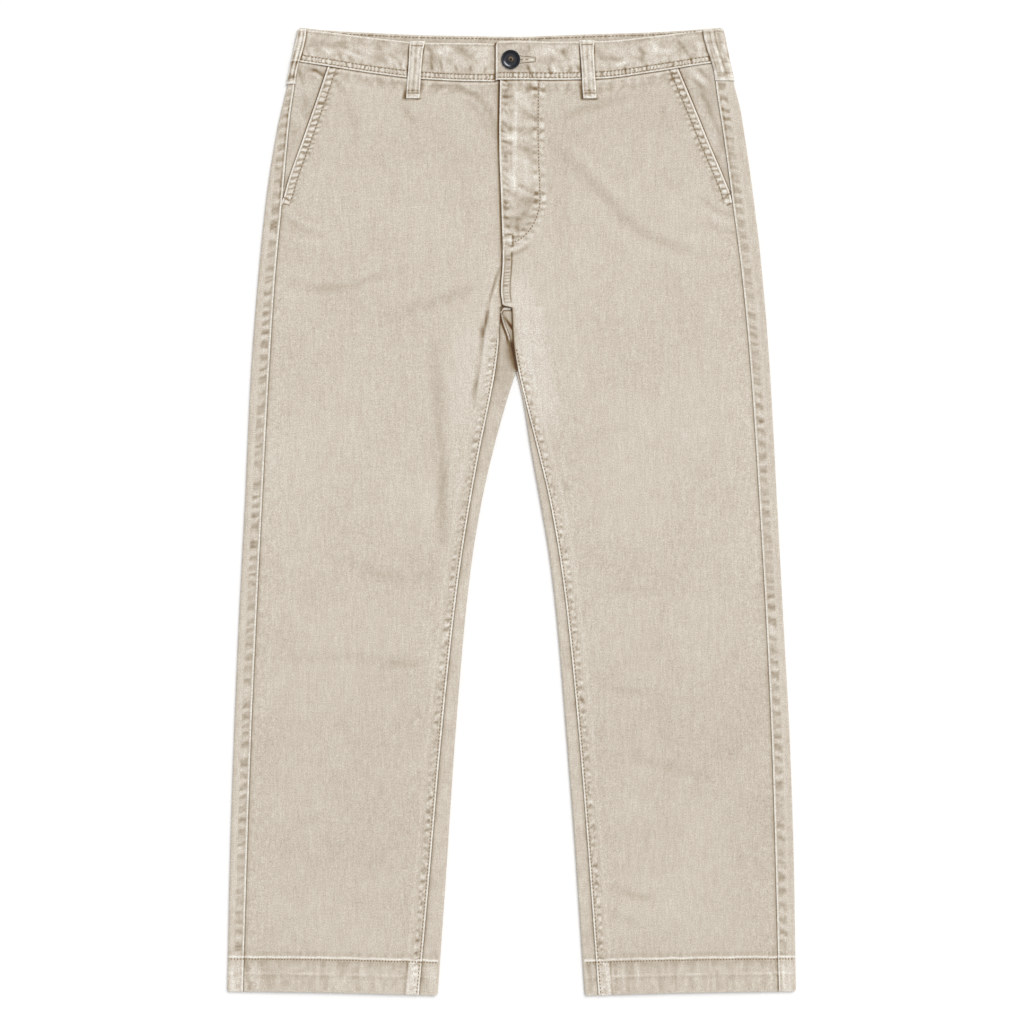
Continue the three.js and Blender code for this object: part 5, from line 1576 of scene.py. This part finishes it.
def thread_piece(name, places, material, size):
    """Copies of one stitch in a single mesh. A place is a point, a direction along it and a normal."""
    points, faces = stitch_form()
    length, width, height = size
    scaled = points * np.array([length / 2, width / 2, height / 2])
    all_points, all_faces = [], []
    for number, (point, along, normal) in enumerate(places):
        across = normal.cross(along).normalized()
        along = across.cross(normal).normalized()
        axes = np.array([along, across, normal])
        all_points.append(scaled @ axes + np.array(point))
        all_faces.append(faces + number * len(points))
    mesh = bpy.data.meshes.new(name)
    mesh.from_pydata(np.concatenate(all_points).tolist(), [], np.concatenate(all_faces).tolist())
    mesh.shade_smooth()
    mesh.materials.append(material)
    piece = bpy.data.objects.new(name, mesh)
    bpy.context.collection.objects.link(piece)
    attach(piece, "root")
    return piece


class Ground:
    """The upper faces of finished pieces, for laying stitches on them."""

    def __init__(self, names):
        depsgraph = bpy.context.evaluated_depsgraph_get()
        self.trees = [BVHTree.FromObject(bpy.data.objects[name], depsgraph) for name in names]

    def under(self, x, y):
        """Where a ray from above meets the highest piece: its point and normal, or None."""
        hits = [tree.ray_cast(Vector((x * MM, y * MM, 0.05)), Vector((0, 0, -1))) for tree in self.trees]
        hits = [hit for hit in hits if hit[0] is not None]
        return max(hits, key=lambda hit: hit[0].z) if hits else None


def run_places(ground, path, pitch, sunk, turn=0.0):
    """Places of the stitches of one run: points every pitch along a path on the cloth."""
    path = np.array(path, float)
    lengths = np.hypot(*np.diff(path, axis=0).T)
    travelled = np.concatenate([[0], np.cumsum(lengths)])

    def at(distance):
        return np.array([np.interp(distance, travelled, path[:, axis]) for axis in (0, 1)])

    places = []
    for distance in np.arange(pitch / 2, travelled[-1], pitch):
        ahead = at(min(distance + 0.3 * pitch, travelled[-1]))
        dx, dy = ahead - at(max(distance - 0.3 * pitch, 0))
        hit = ground.under(*at(distance))
        if hit:
            angle = np.arctan2(dy, dx) + turn
            places.append((hit[0] + hit[1] * sunk, Vector((cos(angle), sin(angle), 0)), hit[1]))
    return places


def inseam_path(side):
    """The stitching beside the inseam, up to where the crotch hides it."""
    top = 188 if side == RIGHT else 178
    rows = np.linspace(HEM + 2, top, 180)
    x = inseam[side](rows) + side * (SEAM_GAP / 2 + INSEAM_STITCH_IN)
    return list(zip(x, row_place(side, rows, x, 0)))


def hem_path(side):
    """The hem's stitching over the front and the strips on both sides of it."""
    row = HEM_STITCH - HEM_STITCH_DROP
    start = outer_fold[side](row) - side * 2.6
    end = inner_fold[side](row) + side * 2.6
    x = np.linspace(start, end, 60)
    return list(zip(x, row_place(side, np.full_like(x, row), x, 0)))


def slant_path(side):
    """The stitching along a pocket's slanted edge."""
    ys = np.linspace(337, 474, 50)
    return list(zip(pocket_slant[side](ys) - side * POCKET_STITCH_IN / SLANT_COSINE, ys))


def fly_path():
    """The fly's stitching: straight down, then curving in to the centre front."""
    ys = np.linspace(464, FLY_STRAIGHT_BOTTOM, 30)
    straight = list(zip(centre_front(ys) + FLY_WIDTH, ys))
    turned = np.linspace(0, radians(80), 24)[1:]
    ys = FLY_STRAIGHT_BOTTOM - (FLY_STRAIGHT_BOTTOM - FLY_BOTTOM) * np.sin(turned)
    return straight + list(zip(centre_front(ys) + FLY_WIDTH * np.cos(turned), ys))


def channel_paths():
    """The two rows of stitching along the waistband's lower edge, on both halves."""
    paths = []
    for above in (CHANNEL_STITCH_LOW, CHANNEL_STITCH_HIGH):
        for start, end in ((-229, -19), (BAND_OVERLAP_END + 3, 220)):
            x = np.linspace(start, end, 60)
            paths.append(list(zip(x, front_seam(x) + SEAM_GAP / 2 + above)))
    return paths


def band_top_path():
    """The stitching inside the back waistband, along its top."""
    x = np.linspace(-196, 200, 120)
    return list(zip(x, back_top(x) - BAND_TOP_STITCH_IN))


class TROUSERS_OT_back_panels(bpy.types.Operator):
    """Both backs, wrapping round the outseam and inseam folds"""
    bl_idname = "trousers.back_panels"
    bl_label = "Back panels"
    bl_options = {"REGISTER", "UNDO"}

    def execute(self, context):
        for side in (RIGHT, LEFT):
            back_panel(side, twill_materials()["panel"])
        return {"FINISHED"}


class TROUSERS_OT_front_panels(bpy.types.Operator):
    """Both fronts with their creases, fly, hems and pocket edges"""
    bl_idname = "trousers.front_panels"
    bl_label = "Front panels"
    bl_options = {"REGISTER", "UNDO"}

    def execute(self, context):
        for side in (RIGHT, LEFT):
            front_panel(side, twill_materials()["panel"])
        return {"FINISHED"}


class TROUSERS_OT_pocket_facings(bpy.types.Operator):
    """The facings behind the slanted pockets"""
    bl_idname = "trousers.pocket_facings"
    bl_label = "Pocket facings"
    bl_options = {"REGISTER", "UNDO"}

    def execute(self, context):
        for side in (RIGHT, LEFT):
            pocket_facing(side, twill_materials()["facing"])
        return {"FINISHED"}


class TROUSERS_OT_waistband(bpy.types.Operator):
    """Both halves of the waistband, lapped at the centre front"""
    bl_idname = "trousers.waistband"
    bl_label = "Waistband"
    bl_options = {"REGISTER", "UNDO"}

    def execute(self, context):
        for side in (RIGHT, LEFT):
            waistband(side, twill_materials()["waistband"])
        return {"FINISHED"}


class TROUSERS_OT_belt_loops(bpy.types.Operator):
    """Two front and two side belt loops"""
    bl_idname = "trousers.belt_loops"
    bl_label = "Belt loops"
    bl_options = {"REGISTER", "UNDO"}

    def execute(self, context):
        for side in (RIGHT, LEFT):
            front_loop(side, twill_materials()["waistband"])
            side_loop(side, twill_materials()["waistband"])
        return {"FINISHED"}


class TROUSERS_OT_stitching(bpy.types.Operator):
    """The runs of stitches along hems, inseams, pockets, fly and waistband"""
    bl_idname = "trousers.stitching"
    bl_label = "Stitching"
    bl_options = {"REGISTER", "UNDO"}

    def execute(self, context):
        sewing = context.scene.trouser_sewing
        material = thread_material("topstitch_thread", sewing.thread)
        panels = Ground([f"{part}_{word}_twill" for part in ("front", "back") for word in WORDS.values()])
        band = Ground([f"waistband_{word}_twill" for word in WORDS.values()])
        # Each run's cloth, its spacing, length and width against a plain stitch's, and its paths
        runs = {
            "hem_stitches": (panels, 0.8, 0.62, 1.5, [hem_path(side) for side in WORDS]),
            "inseam_stitches": (panels, 1.0, 1.0, 1.0, [inseam_path(side) for side in WORDS]),
            "pocket_stitches": (panels, 1.0, 1.0, 1.0, [slant_path(side) for side in WORDS]),
            "fly_stitches": (panels, 0.9, 0.8, 1.15, [fly_path()]),
            "waistband_stitches": (band, 1.0, 1.0, 1.0, [*channel_paths(), band_top_path()]),
        }
        for name, (ground, spacing, longer, broader, paths) in runs.items():
            pitch = sewing.pitch / MM * spacing
            places = [place for path in paths for place in run_places(ground, path, pitch, STITCH_LIFT)]
            size = (sewing.length * longer, sewing.width * broader, sewing.width * 0.6)
            thread_piece(name, places, material, size)
        return {"FINISHED"}


class TROUSERS_OT_tacks(bpy.types.Operator):
    """Bar tacks of the loops and pockets, and the worked buttonhole"""
    bl_idname = "trousers.tacks"
    bl_label = "Bar tacks and buttonhole"
    bl_options = {"REGISTER", "UNDO"}

    def execute(self, context):
        thread = context.scene.trouser_sewing.thread
        everything = Ground([o.name for o in bpy.data.objects if o.name.endswith("_twill")])
        tacks = []
        for path in BAR_TACKS:
            tacks.extend(run_places(everything, path, 0.62, TACK_LIFT, turn=pi / 2))
        material = thread_material("tack_thread", [part * 1.2 for part in thread])
        thread_piece("bar_tacks", tacks, material, TACK_SIZE)

        # The worked buttonhole: stitches across both lips and the end, and a darker edge round them
        band = Ground(["waistband_left_twill"])
        start, end = BUTTON_X + 8, BUTTONHOLE_END
        hole, edge = [], []
        for half in (1, -1):
            lip = [(start, BUTTON_Y + 2.3 * half), (end - 1, BUTTON_Y + 1.6 * half)]
            hole.extend(run_places(band, lip, 0.55, TACK_LIFT, turn=pi / 2))
            side_edge = [(start, BUTTON_Y + 4.1 * half), (end + 0.6, BUTTON_Y + 2.5 * half)]
            edge.extend(run_places(band, side_edge, 1.3, -TACK_LIFT))
        for places, x, pitch, lift, turn in (
            (hole, end, 0.5, TACK_LIFT, pi / 2),
            (edge, end + 0.9, 1.2, -TACK_LIFT, 0),
        ):
            across = [(x, BUTTON_Y - 2.4), (x, BUTTON_Y + 2.4)]
            places.extend(run_places(band, across, pitch, lift, turn=turn))
        pale = thread_material("buttonhole_thread", to_linear((214, 203, 184)))
        thread_piece("buttonhole_stitches", hole, pale, TACK_SIZE)
        worn = thread_material("buttonhole_edge_thread", to_linear((122, 99, 70)))
        thread_piece("buttonhole_edge", edge, worn, EDGE_STITCH_SIZE)
        return {"FINISHED"}


class TROUSERS_OT_button(bpy.types.Operator):
    """The dished metal button on its shank"""
    bl_idname = "trousers.button"
    bl_label = "Button"
    bl_options = {"REGISTER", "UNDO"}

    def execute(self, context):
        button = context.scene.trouser_button
        radius, head = button.diameter / 2, button.head
        underside = (BAND_OVERLAP_HEIGHT + LAYER_GAP) * MM
        foot = (BAND_UNDERLAP_HEIGHT + LAYER_GAP) * MM
        middle = (BUTTON_X * MM, BUTTON_Y * MM, underside + head / 2)
        bpy.ops.object.select_all(action="DESELECT")
        bpy.ops.mesh.primitive_cylinder_add(vertices=64, radius=radius, depth=head, location=middle)
        piece = bpy.context.object
        piece.name = "button_head"
        bpy.ops.object.mode_set(mode="EDIT")
        form = bmesh.from_edit_mesh(piece.data)

        def select_cap(upwards):
            form.faces.ensure_lookup_table()
            flat = [face for face in form.faces if face.normal.z * upwards > UPPER_FACE]
            cap = min(flat, key=lambda face: max(corner.co.xy.length for corner in face.verts))
            for face in form.faces:
                face.select_set(False)
            cap.select_set(True)
            bmesh.update_edit_mesh(piece.data)

        select_cap(1)
        for inset, rise in BUTTON_RINGS:
            bpy.ops.mesh.inset(thickness=inset * MM)
            bpy.ops.transform.translate(value=(0, 0, rise * MM))
        select_cap(-1)
        bpy.ops.mesh.inset(thickness=radius - SHANK_RADIUS * MM)
        bpy.ops.mesh.extrude_region_move(TRANSFORM_OT_translate={"value": (0, 0, foot - underside)})
        bpy.ops.object.mode_set(mode="OBJECT")
        bevel = piece.modifiers.new("Rim", "BEVEL")
        bevel.width = 0.3 * MM
        bevel.segments = 3
        bevel.limit_method = "ANGLE"
        bpy.ops.object.modifier_apply(modifier=bevel.name)
        bpy.ops.object.shade_smooth_by_angle(angle=radians(40))
        bpy.ops.object.transform_apply(location=True, rotation=True, scale=True)
        piece.data.materials.append(button_material(button))
        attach(piece, "root")
        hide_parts("button")
        return {"FINISHED"}


def button_material(button):
    """Dark metal with a brown ring round its middle, a painted highlight arc towards the lower left, and its
    hollow painted near-black as shade.
    """
    material, tree, shader, place = principled("dark_button_metal", 0.42, metallic=0.75)
    middle_place = (-BUTTON_X * MM, -BUTTON_Y * MM, 0)
    centred = node(tree, "ShaderNodeMapping", {"vector_type": "POINT"}, Vector=place, Location=middle_place)
    flat = vector_calc(tree, "MULTIPLY", 0, centred.outputs[0], (1, 1, 0))
    radius = vector_calc(tree, "LENGTH", "Value", flat)
    patina = scaled_noise(tree, place, (1, 1, 1), 0.0012, 3.0, 0.6)
    lean = vector_calc(tree, "DOT_PRODUCT", "Value", flat, (-0.62, -0.78, 0))
    facing = calc(tree, "DIVIDE", lean, calc(tree, "ADD", radius, 0.0001))

    # Masks from the middle outwards: the hollow, painted near-black as shade; the ring round it, whose brown
    # is the metal's own but stronger towards the upper right as painted light; the painted highlight arc; and
    # the rim
    hollow = calc(tree, "LESS_THAN", radius, 0.0015)
    ring = calc(tree, "SUBTRACT", calc(tree, "LESS_THAN", radius, 0.0029), hollow)
    brown = calc(tree, "MULTIPLY", ring, calc(tree, "MULTIPLY_ADD", facing, -0.45, 0.45))
    from_arc = calc(tree, "ABSOLUTE", calc(tree, "SUBTRACT", radius, 0.0073))
    arc = rise_in(tree, from_arc, 0.0008, 0.0003)
    painted_highlight = calc(tree, "MULTIPLY", arc, rise_in(tree, facing, 0.72, 0.98, 0.85))
    rim = calc(tree, "GREATER_THAN", radius, 0.0093)
    colour = (*button.metal, 1)
    for mask, screen_colour in (
        (rim, (20, 23, 32)),
        (hollow, (16, 14, 12)),
        (brown, (170, 146, 112)),
        (painted_highlight, (196, 200, 202)),
    ):
        colour = blend(tree, mask, colour, (*to_linear(screen_colour), 1))
    tone = calc(tree, "MULTIPLY_ADD", patina, 0.7, 0.65)
    toned = vector_calc(tree, "SCALE", 0, colour, Scale=tone)
    tree.links.new(calc(tree, "MULTIPLY_ADD", patina, 0.3, 0.28), shader.inputs["Roughness"])
    link_surface(tree, shader, toned, patina, 0.25, 0.00015)
    return material


class TROUSERS_OT_stage(bpy.types.Operator):
    """The pale floor, soft light and the camera straight above"""
    bl_idname = "trousers.stage"
    bl_label = "Stage"
    bl_options = {"REGISTER", "UNDO"}

    def execute(self, context):
        scene = context.scene
        stage = scene.trouser_stage
        bpy.ops.object.select_all(action="DESELECT")
        bpy.ops.mesh.primitive_plane_add(size=FLOOR_SIZE, location=(0, 0, -FLOOR_DROP * MM))
        floor = bpy.context.object
        floor.name = "studio_floor"
        material, tree, shader, place = principled("studio_floor_paint", 0.9)
        cast = scaled_noise(tree, place, (1, 1, 1), 0.8, 1.0)
        paint = blend(tree, cast, (0.955, 0.955, 0.955, 1), (0.97, 0.97, 0.97, 1))
        tree.links.new(paint, shader.inputs["Base Color"])
        floor.data.materials.append(material)
        lamp = bpy.data.lights.new("key_light", "SUN")
        lamp.angle = stage.key_softness
        lamp.energy = stage.key_strength
        light = bpy.data.objects.new("key_light", lamp)
        turn = (-Vector(KEY_LIGHT_PLACE)).to_track_quat("-Z", "Y").to_matrix().to_4x4()
        light.matrix_world = Matrix.Translation(KEY_LIGHT_PLACE) @ turn
        context.collection.objects.link(light)
        world = bpy.data.worlds.new("studio_fill")
        world.use_nodes = True
        background = world.node_tree.nodes["Background"]
        background.inputs["Color"].default_value = (1, 1, 1, 1)
        background.inputs["Strength"].default_value = stage.fill_strength
        scene.world = world
        scene.view_settings.view_transform = "Standard"
        camera = bpy.data.objects.new("camera_above", bpy.data.cameras.new("camera_above"))
        camera.data.lens = stage.focal_length
        camera.data.sensor_width = 36.0
        camera.location = (CAMERA_X * MM, 0.0, stage.camera_height)
        scene.collection.objects.link(camera)
        scene.camera = camera
        return {"FINISHED"}


class TROUSERS_PT_panel(bpy.types.Panel):
    """Settings and build steps in the sidebar"""
    bl_label = "Trousers"
    bl_idname = "TROUSERS_PT_panel"
    bl_space_type = "VIEW_3D"
    bl_region_type = "UI"
    bl_category = "Trousers"

    def draw(self, context):
        for group in ("trouser_cloth", "trouser_sewing", "trouser_button", "trouser_stage"):
            settings = getattr(context.scene, group)
            for name in settings.__annotations__:
                self.layout.prop(settings, name)
        for step in STEPS:
            self.layout.operator(step.bl_idname)


GROUPS = {
    "trouser_cloth": ClothSettings,
    "trouser_sewing": SewingSettings,
    "trouser_button": ButtonSettings,
    "trouser_stage": StageSettings,
}
STEPS = (
    TROUSERS_OT_stage,
    TROUSERS_OT_back_panels,
    TROUSERS_OT_front_panels,
    TROUSERS_OT_pocket_facings,
    TROUSERS_OT_waistband,
    TROUSERS_OT_belt_loops,
    TROUSERS_OT_stitching,
    TROUSERS_OT_button,
    TROUSERS_OT_tacks,
)


def register():
    for cls in (*GROUPS.values(), *STEPS, TROUSERS_PT_panel):
        bpy.utils.register_class(cls)
    for name, cls in GROUPS.items():
        setattr(bpy.types.Scene, name, bpy.props.PointerProperty(type=cls))


def unregister():
    for name in GROUPS:
        delattr(bpy.types.Scene, name)
    for cls in reversed((*GROUPS.values(), *STEPS, TROUSERS_PT_panel)):
        bpy.utils.unregister_class(cls)


def main():
    register()
    for step in STEPS:
        getattr(bpy.ops.trousers, step.bl_idname.split(".")[1])()


if __name__ == "__main__":
    main()
